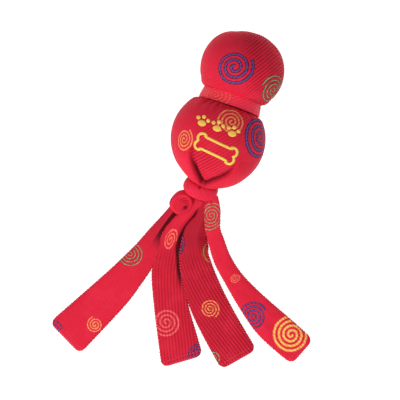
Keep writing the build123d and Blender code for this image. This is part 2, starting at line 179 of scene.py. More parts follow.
# ---------------------------------------------------------------- meshes
def make(
    name, points, faces, material, uv=None, weave=None, ribs=None, outward=True, crisp_caps=False,
    shade=None,
):
    """A mesh of toy-millimetre points.

    uv is one pair of millimetres for each point, or a function of (corner, mesh) with one for each corner.
    weave is the ribs' own map, which is uv if it isn't given. ribs is how strong the ribs are at each point,
    and shade how strongly painted shade darkens the colour there, most deep in a fold. With crisp_caps, the
    fan that closes an end leaves the sides' shading alone.
    """
    mesh = bpy.data.meshes.new(name)
    mesh.from_pydata(((np.asarray(points) + ORIGIN) * MM).tolist(), [], faces)
    weave = uv if weave is None else weave
    for label, values in (("Motif", uv), ("Weave", weave)):
        if values is None:
            continue
        corner = np.empty(len(mesh.loops), np.int32)
        mesh.loops.foreach_get("vertex_index", corner)
        flat = values(corner, mesh) if callable(values) else np.asarray(values)[corner]
        layer = mesh.uv_layers.new(name=label)
        layer.uv.foreach_set("vector", (flat * MM).astype(np.float32).ravel())
    if ribs is not None:
        mesh.attributes.new("rib_strength", "FLOAT", "POINT").data.foreach_set(
            "value", np.asarray(ribs, np.float32)
        )
    if shade is not None:
        mesh.attributes.new("shade", "FLOAT", "POINT").data.foreach_set(
            "value", np.clip(shade, 0, 1).astype(np.float32)
        )
    if outward:
        b = bmesh.new()
        b.from_mesh(mesh)
        bmesh.ops.remove_doubles(b, verts=b.verts, dist=1e-6)
        bmesh.ops.recalc_face_normals(b, faces=b.faces)
        if crisp_caps:
            for face in b.faces:
                if len(face.verts) == 3:
                    for edge in face.edges:
                        if any(len(other.verts) == 4 for other in edge.link_faces):
                            edge.smooth = False
        b.to_mesh(mesh)
        b.free()
    mesh.polygons.foreach_set("use_smooth", [True] * len(mesh.polygons))
    obj = bpy.data.objects.new(name, mesh)
    bpy.context.scene.collection.objects.link(obj)
    obj.data.materials.append(material)
    return obj


def threads(name, paths, radius, material, sides=6):
    """One mesh of many round threads, each along its own path of toy-millimetre points."""
    points, faces, start = [], [], 0
    turn = np.linspace(0, TAU, sides, endpoint=False)
    for path in paths:
        p = np.asarray(path, float)
        t = unit(np.gradient(p, axis=0))
        up = np.where(abs(t[:, 2:3]) > 0.9, np.array([[1.0, 0, 0]]), np.array([[0, 0, 1.0]]))
        if np.ptp(abs(t[:, 2])) > 0.5:
            up = np.tile(unit(np.cross(p[-1] - p[0], p[len(p) // 2] - p[0]) + 1e-9), (len(p), 1))
        a = unit(np.cross(t, up))
        b = np.cross(t, a)
        ease_in = np.ones(len(p))
        ease_in[[0, -1]] = 0.55
        ring = (
            p[:, None]
            + radius * ease_in[:, None, None] * (
                a[:, None] * np.cos(turn)[:, None] + b[:, None] * np.sin(turn)[:, None]
            )
        )
        points.append(ring.reshape(-1, 3))
        faces += [[start + k for k in f] for f in quads(len(p), sides)]
        faces += [
            [start + k for k in range(sides)][::-1],
            [start + (len(p) - 1) * sides + k for k in range(sides)],
        ]
        start += len(p) * sides
    return make(name, np.vstack(points), faces, material, outward=False)


# ---------------------------------------------------------------- materials
def srgb(code):
    v = [int(code[i : i + 2], 16) / 255 for i in (0, 2, 4)]
    return tuple(c / 12.92 if c < 0.04045 else ((c + 0.055) / 1.055) ** 2.4 for c in v) + (1.0,)


RED, RED_DEEP, RED_LIGHT = srgb("d8213a"), srgb("8f0f22"), srgb("ea3550")
# each woven motif has a bright thread down the middle of its line and a darker one at its edges
BLUE, GREEN = (srgb("3c62b4"), srgb("0e1436")), (srgb("b4c596"), srgb("3c3a20"))
SALMON, ORANGE = (srgb("ff9478"), srgb("e8584c")), (srgb("d99a50"), srgb("8a4418"))
GOLD, YELLOW = (srgb("fbb07c"), srgb("e4653c")), (srgb("fbdc7c"), srgb("ee9f4c"))


class Nodes:
    """Short names for building one material's nodes."""

    def __init__(self, name):
        self.material = bpy.data.materials.new(name)
        self.material.use_nodes = True
        self.tree = self.material.node_tree
        self.shader = self.tree.nodes["Principled BSDF"]

    def node(self, kind, **values):
        n = self.tree.nodes.new(kind)
        for k, v in values.items():
            setattr(n, k, v)
        return n

    def join(self, value, socket):
        if isinstance(value, bpy.types.NodeSocket):
            self.tree.links.new(value, socket)
        elif value is not None:
            socket.default_value = value

    def math(self, op, a, b=None, c=None):
        n = self.node("ShaderNodeMath", operation=op)
        for i, v in enumerate((a, b, c)):
            self.join(v, n.inputs[i])
        return n.outputs[0]

    def plus(self, a, b):
        return self.math("ADD", a, b)

    def minus(self, a, b):
        return self.math("SUBTRACT", a, b)

    def times(self, a, b):
        return self.math("MULTIPLY", a, b)

    def mix(self, factor, a, b):
        n = self.node("ShaderNodeMix", data_type="RGBA")
        self.join(factor, n.inputs["Factor"])
        self.join(a, n.inputs[6])
        self.join(b, n.inputs[7])
        return n.outputs[2]

    def noise(self, vector, scale, detail=3.0, rough=0.55):
        n = self.node("ShaderNodeTexNoise")
        self.join(vector, n.inputs["Vector"])
        n.inputs["Scale"].default_value = scale
        n.inputs["Detail"].default_value = detail
        n.inputs["Roughness"].default_value = rough
        return n.outputs["Fac"]

    def range(self, value, a, b, c=0.0, d=1.0):
        n = self.node("ShaderNodeMapRange", interpolation_type="SMOOTHSTEP")
        self.join(value, n.inputs[0])
        for i, v in enumerate((a, b, c, d)):
            n.inputs[i + 1].default_value = v
        return n.outputs[0]

    def uv(self, label):
        return self.node("ShaderNodeUVMap", uv_map=label).outputs[0]

    def split(self, vector):
        n = self.node("ShaderNodeSeparateXYZ")
        self.join(vector, n.inputs[0])
        return n.outputs

    def bump(self, height, strength, distance):
        n = self.node("ShaderNodeBump")
        n.inputs["Strength"].default_value = strength
        n.inputs["Distance"].default_value = distance
        self.join(height, n.inputs["Height"])
        return n.outputs[0]

    def finish(self, colour, roughness, normal=None, sheen=0.0, specular=0.3):
        s = self.shader.inputs
        self.join(colour, s["Base Color"])
        self.join(roughness, s["Roughness"])
        s["Specular IOR Level"].default_value = specular
        s["Sheen Weight"].default_value = sheen
        s["Sheen Roughness"].default_value = 0.45
        s["Sheen Tint"].default_value = (1.0, 0.62, 0.62, 1.0)
        if normal is not None:
            self.join(normal, s["Normal"])
        return self.material


def spiral(n, u, v, x, y, radius, turns=3.0, start=0.0, squash=1.0, lean=0.0):
    """How much of a woven spiral's thread is at (u, v): an Archimedean line of that many turns round (x,
    y), in mm.
    """
    pitch = radius / (turns + 0.25) * MM
    du, dv = n.minus(u, x * MM), n.minus(v, y * MM)
    c, s = math.cos(lean), math.sin(lean)
    p = n.plus(n.times(du, c), n.times(dv, s))
    q = n.minus(n.times(dv, c), n.times(du, s))
    q = n.math("DIVIDE", q, squash)
    r = n.math("SQRT", n.plus(n.times(p, p), n.times(q, q)))
    angle = n.times(n.math("ARCTAN2", q, p), 1 / TAU)
    part = n.math("FRACT", n.minus(angle, start / 360.0))
    a = n.minus(n.math("DIVIDE", r, pitch), part)
    k = n.math("ROUND", a)
    away = n.math("ABSOLUTE", n.minus(a, k))
    turned = n.plus(k, part)
    keep = n.times(n.math("GREATER_THAN", turned, 0.12), n.math("LESS_THAN", turned, turns + 0.02))
    line = n.times(n.range(away, 0.23, 0.33, 1.0, 0.0), keep)
    return line, n.range(away, 0.06, 0.18, 1.0, 0.0)


YARN_ALONG, YARN_ACROSS = 0.00075, 0.0011  # yarn pitches of the weave, in metres


def cloth(name, spirals=(), gloss=0.0, plain=RED):
    """The ribbed jacquard: ribs from the Weave map, woven spirals at places on the Motif map."""
    n = Nodes(name)
    weave, motif = n.uv("Weave"), n.uv("Motif")
    across, along, _ = n.split(weave)
    strength = n.node("ShaderNodeAttribute", attribute_name="rib_strength").outputs["Fac"]
    drift = n.noise(weave, 90.0, 2.0)
    phase = n.plus(n.times(across, TAU / (RIB * MM)), n.times(drift, 1.2))
    crown = n.math("MULTIPLY_ADD", n.math("COSINE", phase), 0.5, 0.5)
    twill = n.plus(n.times(along, TAU / YARN_ALONG), n.times(across, TAU / YARN_ACROSS))
    fine = n.math("SINE", twill)
    yarn = n.noise(weave, 1500.0, 2.0, 0.7)
    broad = n.noise(weave, 55.0, 3.0)
    # painted shade: the rib grooves are darkened towards deep red, more where the ribs are strong
    groove = n.times(n.range(crown, 0.0, 0.55, 1.0, 0.0), strength)
    colour = n.mix(n.times(groove, 0.75), plain, RED_DEEP)
    colour = n.mix(n.times(n.range(broad, 0.45, 0.75), 0.28), colour, RED_LIGHT)
    colour = n.mix(n.times(n.range(yarn, 0.42, 0.7), 0.22), colour, RED_DEEP)
    u, v, _ = n.split(motif)
    ragged = n.times(n.minus(n.noise(weave, 700.0, 1.0), 0.5), 0.0012)
    u, v = n.plus(u, ragged), n.plus(v, ragged)
    raised = None
    for s in spirals:
        s = dict(s)
        (thread, edge), cover = s.pop("thread"), s.pop("cover", 0.95)
        mask, core = spiral(n, u, v, **s)
        broken = n.range(n.plus(n.times(crown, 0.8), n.times(yarn, 0.5)), 0.2, 0.5, 0.45, 1.0)
        twist = n.times(n.range(yarn, 0.35, 0.65, 1.0, 0.35), core)
        tone = n.mix(twist, edge, thread)
        mask = n.times(mask, n.times(broken, cover))
        colour = n.mix(mask, colour, tone)
        raised = mask if raised is None else n.math("MAXIMUM", raised, mask)
    # painted shade: the mesh's shade attribute darkens the colour towards near black in folds, pockets, gaps
    # and under neighbouring parts
    shade = n.node("ShaderNodeAttribute", attribute_name="shade").outputs["Fac"]
    colour = n.mix(n.times(shade, 0.90), colour, srgb("200509"))
    height = n.times(n.math("POWER", crown, 0.6), strength)
    height = n.plus(height, n.times(fine, 0.10))
    height = n.plus(height, n.times(yarn, 0.22))
    if raised is not None:
        height = n.plus(height, n.times(raised, 0.35))
    normal = n.bump(height, 0.75, 0.0005)
    roughness = n.range(yarn, 0.3, 0.8, 0.62 - gloss, 0.78 - gloss)
    return n.finish(colour, roughness, normal, specular=0.08 + gloss)


def thread_material(name, colour, dark=0.45, gloss=0.42):
    n = Nodes(name)
    place = n.node("ShaderNodeTexCoord").outputs["Generated"]
    strands = n.noise(place, 220.0, 2.0, 0.6)
    colour_out = n.mix(
        n.times(n.range(strands, 0.4, 0.75), dark), colour, tuple(c * 0.45 for c in colour[:3]) + (1.0,)
    )
    return n.finish(
        colour_out, n.range(strands, 0.3, 0.8, gloss, gloss + 0.2), n.bump(strands, 0.5, 0.0002),
        sheen=0.15, specular=0.35,
    )


def solid(name, light, dark, scale, roughness, bump=0.2, specular=0.4, sheen=0.0):
    """Moulded rubber, felt or plastic: two tones, a grain, and a roughness that varies."""
    n = Nodes(name)
    place = n.node("ShaderNodeTexCoord").outputs["Object"]
    grain, cloud = n.noise(place, scale, 5.0, 0.65), n.noise(place, scale / 12, 2.0)
    colour = n.mix(n.times(n.range(grain, 0.35, 0.7), 0.6), light, dark)
    colour = n.mix(n.times(n.range(cloud, 0.4, 0.7), 0.3), colour, dark)
    return n.finish(
        colour, n.range(grain, 0.3, 0.75, roughness - 0.08, roughness + 0.08), n.bump(grain, bump, 0.0004),
        specular=specular, sheen=sheen,
    )


# ---------------------------------------------------------------- balls and their covers
def charts(centre, radius):
    """Corner UVs for a ball's cover: the front half's cloth is laid out flat round its front pole, the back
    half's round its back pole, half a metre away.
    """

    def uv(corner, mesh):
        points = np.empty(len(mesh.vertices) * 3)
        mesh.vertices.foreach_get("co", points)
        n = unit(points.reshape(-1, 3) / MM - ORIGIN - centre)
        starts = np.empty(len(mesh.polygons), np.int32)
        mesh.polygons.foreach_get("loop_start", starts)
        counts = np.diff(np.r_[starts, len(corner)])
        z = np.add.reduceat(n[corner, 2], starts) / counts
        front = np.repeat(z > 0, counts)
        nc = n[corner]
        angle = np.arccos(np.clip(np.where(front, nc[:, 2], -nc[:, 2]), -1, 1))
        flat = unit(nc[:, :2] + 1e-9) * (angle * radius)[:, None]
        flat[~front] += [BACK_CHART, 0.0]
        return flat

    return uv


def rib_map(n, radius, angle):
    """The ribs' own map on a ball: evenly spaced small circles, so that they lie straight seen from the
    front.
    """
    along = np.array([math.cos(angle), math.sin(angle), 0])
    across = np.array([along[1], -along[0], 0])
    return np.stack([np.arcsin(np.clip(n @ across, -1, 1)), np.arcsin(np.clip(n @ along, -1, 1))], 1) * radius


def revolve(profile, cols, angle):
    """Points of a (along, out) profile turned about Y, then tilted about X by angle."""
    phi = np.linspace(0, TAU, cols, endpoint=False)
    a, r = profile[:, 0, None], profile[:, 1, None]
    p = np.stack([r * np.sin(phi), a + 0 * phi, r * np.cos(phi)], -1)
    return tilted(p, np.broadcast_to(np.asarray(angle, float).reshape(-1, 1), p.shape[:2]))


def arc(radius, first, last, n=90):
    t = np.radians(np.linspace(first, last, n))
    return np.stack([radius * np.cos(t), radius * np.sin(t)], 1)


def head_strength(n):
    front = 0.18 + 0.82 * ramp(n[:, 0] * HEAD_R + 0.35 * n[:, 1] * HEAD_R, -4, 16)
    return np.where(n[:, 2] > -0.2, front, 0.75)


def near_way(n, way, size):
    """1 at the direction way, falling off over size, which is in radians."""
    return np.exp(-((n - unit(np.array(way, float))) ** 2).sum(-1) / size**2)


def head_flat(n):
    """How the head differs from a ball: pressed flatter over the top and its right shoulder, with a dip in
    front of the top.
    """
    return (
        -3.4 * near_way(n, (-0.30, 0.95, 0.0), 0.36) - 1.2 * near_way(n, (0.15, 0.98, 0.0), 0.40)
        - 0.5 * near_way(n, (0.45, 0.88, 0.0), 0.30) - 1.3 * near_way(n, (0.10, 0.62, 0.78), 0.30)
        - 1.0 * near_way(n, (0.9, -0.5, 0.0), 0.3)
    )


def seam_stitches(ring, first, slant, centre, radius_at):
    """Short threads along a ring of directions from centre, slanting to one side and to the other in turn."""
    paths = []
    for k in range(first, len(ring) - first, 2):
        n = ring[k - 1 : k + 2]
        side = slant * (1 if k % 4 == 1 else -1)
        paths.append(centre + n * radius_at(n)[:, None] + np.array([0, 0, side]) * np.array([[-1], [0], [1]]))
    return paths


def head_seam_radius(n):
    return HEAD_R - 0.6 + head_flat(n) + 0.45 * wobble(n * 10, 8.0)


def torso_seam_radius(n):
    return TORSO_R - 0.1 + torso_relief(n)


def build_head():
    """The head's cover, open towards the neck, and the seam thread over its top."""
    neck = curve(
        [
            (-30.6, 22.2), (-28, 22.4), (-25.4, 23.3), (-23.6, 24.8), (-22.4, 26.8), (-21.0, 29.2),
            (-18.8, 31.28),
        ],
        12,
    )
    line = np.vstack([neck[:-1], arc(HEAD_R, 121, 0.4)])
    profile, _ = spaced(line, 0.62)
    cols = 370
    p = revolve(profile, cols, SPINE_TILT).reshape(-1, 3)
    n = unit(p)
    on_ball = np.repeat(ramp(profile[:, 0], -22.5, -17), cols)
    top = n @ SPINE
    flat = head_flat(n)
    spin = np.arctan2(n[:, 0], n[:, 2])
    gathers = 0.35 * np.cos(17 * spin + 1.5 * np.sin(3 * spin)) * ramp(-top, 0.28, 0.62)
    strength = head_strength(n)
    weave = rib_map(n, HEAD_R, HEAD_RIB)
    ribs = 0.2 * strength * np.cos(weave[:, 0] * TAU / RIB)
    lift = (flat + gathers + ribs + 0.45 * wobble(n * 10, 8.0) - 0.7) * on_ball
    lift = np.maximum(lift, (BALL_CLEAR - HEAD_R) * on_ball)
    p = p + n * lift[:, None] + HEAD
    p[:, 2] = np.maximum(p[:, 2], FLOOR_GAP)
    rows = len(profile)
    points = np.vstack([p, HEAD + SPINE * (HEAD_R - 2.2)])
    faces = quads(rows, cols) + cap((rows - 1) * cols, cols, rows * cols)
    material = cloth(
        "head_cloth",
        [
            dict(thread=BLUE, x=-7.0, y=0.4, radius=18.2, turns=3.05, start=345, squash=0.92, lean=0.6),
            dict(thread=GREEN, x=38.8, y=-9.4, radius=17.5, turns=3.9, start=200),
            dict(thread=SALMON, x=-57, y=20, radius=11, turns=3.0, start=100),
            dict(thread=YELLOW, x=BACK_CHART + 5, y=6, radius=15, turns=3.0, start=40),
            dict(thread=BLUE, x=BACK_CHART - 30, y=-14, radius=11, turns=2.6, start=140),
        ],
    )
    # painted shade: the head's front near its top is darkened a little, as if turned away from the key light
    obj = make(
        "head_cover", points, faces, material, charts(HEAD, HEAD_R), np.vstack([weave, [0, 0]]),
        np.r_[strength, 0.8], shade=np.r_[0.20 * near_way(n, (-0.1, 0.75, 0.6), 0.38), 0],
    )
    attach(obj, "head")
    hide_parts("head_panel_front", "head_panel_back")
    # the seam that joins the head cover's two halves, over the top from side to side
    t = np.radians(np.linspace(-118, 118, 150))
    ring = tilted(np.stack([np.sin(t), np.cos(t), 0 * t], 1), SPINE_TILT)
    seam = threads("head_seam", seam_stitches(ring, 3, 0.55, HEAD, head_seam_radius), 0.42, THREAD)
    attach(seam, "head")
    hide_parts("head_seam_thread")


# the V between the two folds of the torso cover: its edges, in plan, from the top down to the knot
LEFT_EDGE = [
    (-18.2, -4.0), (-19.0, -10.0), (-18.4, -16.5), (-14.9, -24.2), (-8.9, -32.0), (-0.6, -40.2),
    (3.2, -44.2),
]
RIGHT_EDGE = [
    (22.4, -8.0), (21.7, -14.3), (19.2, -21.6), (14.0, -28.2), (7.9, -34.0), (1.0, -40.6), (-3.0, -44.0)
]


POCKET_DEPTH = 1.7


def near_v(n):
    """Which unit directions n are on the front near the V, and the plan places of all of them."""
    plan = n[:, :2] * TORSO_R
    return (n[:, 2] > 0) & (plan[:, 1] < -5) & (np.abs(plan[:, 0]) < 30), plan


def on_line(points, line):
    """How far plan points are from a line, which side they are on, and how far along the nearest place is,
    from 0 to 1.
    """
    fine = curve(line, 12)
    d = points[:, None] - fine[None]
    far = np.linalg.norm(d, axis=2)
    k = far.argmin(1)
    t = np.gradient(fine, axis=0)[k]
    rel = d[np.arange(len(k)), k]
    side = np.sign(t[:, 0] * rel[:, 1] - t[:, 1] * rel[:, 0])
    return far[np.arange(len(k)), k], side, k / (len(fine) - 1)


def torso_relief(n):
    """How far the torso cover stands off its ball, in mm, at unit directions n: pleats under the collar and
    the pockets inside the V.
    """
    spin = np.arctan2(n[:, 0], tilted(n, -SPINE_TILT)[:, 2])
    up = n @ SPINE
    near = ramp(up, 0.40, 0.74)
    pleats = np.zeros(len(n))
    for at, depth, width in PLEATS:
        away = np.abs((spin - at + math.pi) % TAU - math.pi)
        pleats -= depth * np.exp(-((away / width) ** 2)) * near**1.4
        pleats += 0.45 * depth * np.exp(-(((away - 2.1 * width) / width) ** 2)) * near**1.2
    relief = pleats + 0.4 * wobble(n * 10, 9.0)
    close, plan = near_v(n)
    if close.any():
        far, side, along = on_line(plan[close], LEFT_EDGE)
        inside = side > 0
        dip = (
            POCKET_DEPTH * np.exp(-(((far - 1.2) / 1.9) ** 2)) * ramp(along, 0.42, 0.60)
            * (1 - ramp(along, 0.86, 0.97))
        )
        dip += np.exp(-(((far - 0.6) / 1.6) ** 2)) * ramp(along, 0.1, 0.3)
        far2, side2, along2 = on_line(plan[close], RIGHT_EDGE)
        dip2 = (
            1.6 * np.exp(-(((far2 - 0.7) / 1.3) ** 2)) * ramp(along2, 0.15, 0.4)
            * (1 - ramp(along2, 0.9, 0.99))
        )
        relief[close] -= (
            np.where(inside | (far < 2.5), dip, 0) + np.where((side2 < 0) | (far2 < 2.0), dip2, 0)
        )
    return relief


# each pleat under the collar: where it is round the spine, how deep, and how wide
PLEATS = [
    (-0.98, 0.9, 0.055), (-0.72, 2.3, 0.085), (-0.50, 1.9, 0.055), (-0.31, 1.3, 0.045), (-0.14, 0.8, 0.04),
    (0.05, 0.6, 0.06), (0.36, 0.7, 0.05), (0.70, 1.0, 0.05), (1.05, 0.7, 0.06),
]
PLEATS += [(a, 1.0 + 0.5 * math.sin(7 * a), 0.07) for a in np.arange(1.45, 5.2, 0.31)]


def torso_shade(n):
    """Painted shade on the torso cover at directions n: darker the deeper in a fold or pocket, and along the
    V's right edge.
    """
    deep = np.clip(-(torso_relief(n) + 0.35) / 1.6, 0, 1)
    out = 0.45 * deep
    close, plan = near_v(n)
    if close.any():
        far, _, along = on_line(plan[close], LEFT_EDGE)
        pocket = (
            np.exp(-((np.maximum(far - 0.4, 0) / 1.7) ** 4)) * ramp(along, 0.46, 0.62)
            * (1 - ramp(along, 0.9, 0.98))
        )
        far2, _, along2 = on_line(plan[close], RIGHT_EDGE)
        line = np.exp(-((far2 / 0.9) ** 4)) * ramp(along2, 0.1, 0.4)
        out[close] = np.maximum(out[close], np.maximum(pocket, 0.85 * line))
    return out


def torso_strength(n):
    plan = n[:, :2] * TORSO_R
    window = ramp(plan[:, 1], -3, -14) * (np.abs(plan[:, 0]) < 26)
    middle = 0.35 * ramp(np.abs(plan[:, 0] - 2), 26, 12)
    return np.where(n[:, 2] > -0.15, 0.10 + np.maximum(0.85 * window, middle), 0.7)


TORSO_SPIRALS = [
    dict(thread=GOLD, x=6.6, y=19.2, radius=13.4, turns=3.6, start=20),
    dict(thread=GOLD, x=-29.6, y=-10.0, radius=9.6, turns=3.3, start=300, squash=1.2, lean=0.3),
    dict(thread=BLUE, x=42.6, y=18.0, radius=25.5, turns=3.5, start=230),
    dict(thread=GREEN, x=-66, y=14, radius=11, turns=2.7, start=30),
    dict(thread=BLUE, x=BACK_CHART - 8, y=10, radius=14, turns=3.0, start=0),
    dict(thread=YELLOW, x=BACK_CHART + 33, y=-12, radius=12, turns=2.8, start=90),
]


def build_torso():
    """The torso's cover, from under the neck band down into the knot, and the seam thread on each side of
    it.
    """
    neck = curve(
        [
            (26.7, 8.0), (25.0, 15.0), (22.9, 20.4), (23.0, 22.8), (25.4, 24.2), (28.4, 24.9), (28.6, 26.6),
            (27.6, 28.8), (25.9, 31.27),
        ],
        12,
    )
    ball = arc(TORSO_R, math.degrees(math.acos(25.9 / TORSO_R)), 158)
    tip = curve([tuple(ball[-1]), (-40.0, 12.6), (-43.0, 10.6), (-47.0, 9.0), (-50.5, 7.8)], 12)
    profile, _ = spaced(np.vstack([neck[:-1], ball, tip[1:]]), 0.66)
    cols = 384
    angle = SPINE_TILT + (DROOP - SPINE_TILT) * ramp(profile[:, 0], 26, -40)
    p = revolve(profile, cols, angle).reshape(-1, 3)
    n = unit(p)
    on_ball = np.repeat(
        ramp(profile[:, 0], 31, 26.5) * ramp(profile[:, 1], 25.0, 28.0) ** (profile[:, 0] > 20)
        * (0.35 + 0.65 * ramp(profile[:, 0], -44, -38)),
        cols,
    )
    strength = torso_strength(n)
    weave = rib_map(n, TORSO_R, TORSO_RIB)
    lift = torso_relief(n) + 0.2 * strength * np.cos(weave[:, 0] * TAU / RIB) - 0.15
    p = p + n * (lift * on_ball)[:, None] + TORSO
    p[:, 2] = np.maximum(p[:, 2], FLOOR_GAP)
    rows = len(profile)
    points = np.vstack([p, TORSO + KNOT_AXIS * 50.5, TORSO + SPINE * 27.4])
    faces = quads(rows, cols) + cap((rows - 1) * cols, cols, rows * cols) + cap(0, cols, rows * cols + 1)
    material = cloth("torso_cloth", TORSO_SPIRALS)
    obj = make(
        "torso_cover", points, faces, material, charts(TORSO, TORSO_R), np.vstack([weave, [[0, 0]] * 2]),
        np.r_[strength, 0.8, 0.8], shade=np.r_[torso_shade(n), 1, 1],
    )
    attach(obj, "torso")
    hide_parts("torso_panel_front", "torso_panel_back")
    paths = []
    for sign in (1, -1):
        t = np.radians(np.linspace(48, 150, 92))
        ring = np.stack([sign * np.sin(t), np.cos(t), 0 * t], 1)
        paths += seam_stitches(ring, 1, 0.5, TORSO, torso_seam_radius)
    seam = threads("torso_seam", paths, 0.42, THREAD)
    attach(seam, "torso")
    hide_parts("torso_seam_thread")


def build_lining():
    """The plain cloth bag inside the torso cover, hidden at rest."""
    profile, _ = spaced(arc(LINING_R, LINING_TOP, LINING_LOW), 1.6)
    cols = 140
    p = revolve(profile, cols, SPINE_TILT).reshape(-1, 3)
    n = unit(p)
    r = LINING_R + np.minimum(torso_relief(n), 0.2) * ramp(n[:, 1], -0.3, -0.6) + 0.12 * wobble(n * 10, 3.0)
    outer, inner = n * r[:, None], n * (r - 0.9)[:, None]
    rows = len(profile)
    points = np.vstack([outer, inner]) + TORSO
    faces = quads(rows, cols) + [f[::-1] for f in (np.array(quads(rows, cols)) + rows * cols).tolist()]
    for first in (0, (rows - 1) * cols):
        faces += [
            [
                first + j, first + (j + 1) % cols, rows * cols + first + (j + 1) % cols,
                rows * cols + first + j,
            ]
            for j in range(cols)
        ]
    weave = rib_map(n, LINING_R, TORSO_RIB)
    obj = make(
        "torso_lining_bag", points, faces, cloth("lining_cloth", plain=srgb("7c2a33")),
        np.vstack([weave] * 2), ribs=np.full(len(points), 0.15),
    )
    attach(obj, "torso")
    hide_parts("torso_lining")


def build_flap(name, node, edge, outer, spirals, rise, bulge):
    """One fold of the torso cover, drawn from the side over the front and down into the knot. Its free edge
    is a rolled lip.
    """
    edge, _ = spaced(curve(edge, 14), 0.6)
    outer, _ = spaced(curve(outer, 14), 0.6)
    rows = len(edge)
    t = np.linspace(0, 1, rows)
    outer = np.stack([np.interp(t, np.linspace(0, 1, len(outer)), outer[:, i]) for i in range(3)], 1)
    plan = edge / TORSO_R
    inner = np.stack([plan[:, 0], plan[:, 1], np.sqrt(np.clip(1 - (plan**2).sum(1), 0.02, 1))], 1)
    n0, n1 = unit(inner), unit(outer)
    cols = 64
    q = np.linspace(0, 1, cols) ** 1.15
    n = unit(n0[:, None] * (1 - q)[None, :, None] + n1[:, None] * q[None, :, None])
    grow = ramp(t, 0.0, 0.34)[:, None]
    end = ramp(t, 0.8, 1.0)[:, None]
    lip = np.sqrt(np.clip(1 - (1 - np.clip(q / 0.075, 0, 1)) ** 2, 0, 1))[None]
    fade = ramp(q, 0.75, 0.2)[None]
    relief = torso_relief(n.reshape(-1, 3)).reshape(rows, cols)
    height = (
        -0.6
        + grow * (
            fade * rise + 0.6 * np.exp(-(((q[None] - 0.12) / 0.1) ** 2)) + bulge * ramp(q, 0.95, 0.6)[None]
        )
        - 1.2 * end
    )
    folds = 0.30 * np.sin(TAU * (q[None] * 3.1 + 0.4 * t[:, None])) * ramp(t, 0.45, 0.9)[:, None] * fade
    low = np.minimum(relief, 0) - 0.9
    low[:, cols // 3 :] = np.maximum(low[:, cols // 3 :], -1.4)
    upper = height + folds + 0.3 * wobble(n.reshape(-1, 3) * 10, 5.0).reshape(rows, cols)
    top = low + (np.maximum(upper, low + 0.05) - low) * lip
    across = np.cumsum(np.linalg.norm(np.diff(n, axis=1, prepend=n[:, :1]), axis=2), axis=1) * TORSO_R
    down = np.broadcast_to(np.linspace(0, rows * 0.6, rows)[:, None], across.shape)
    lean = math.radians(35)
    weave = np.stack(
        [across * math.cos(lean) + down * math.sin(lean), down * math.cos(lean) - across * math.sin(lean)],
        -1,
    ).reshape(-1, 2)
    strength = np.full(rows * cols, 0.16)
    top = top + 0.03 * np.cos(weave[:, 0].reshape(rows, cols) * TAU / RIB)
    a = (n * (TORSO_R + top)[..., None]).reshape(-1, 3)
    b = (n * (TORSO_R + low - 0.25)[..., None]).reshape(-1, 3)
    points = np.vstack([a, b]) + TORSO
    # painted shade: under the rolled lip the fold is darkened, and its under side is fully darkened
    dark = (0.9 * (1 - lip) + 0 * across).reshape(-1) * np.repeat(ramp(t, 0.2, 0.5), cols)
    obj = make(
        name, points, slab(rows, cols), cloth(name + "_cloth", spirals), charts(TORSO, TORSO_R),
        np.vstack([weave] * 2), np.r_[strength, strength], shade=np.r_[dark, dark + 1],
    )
    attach(obj, "torso")
    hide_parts(node)


# ---------------------------------------------------------------- the neck band
LAP_WIDE, LAP_HIGH = 7.0, 4.7  # half the lapped end's size


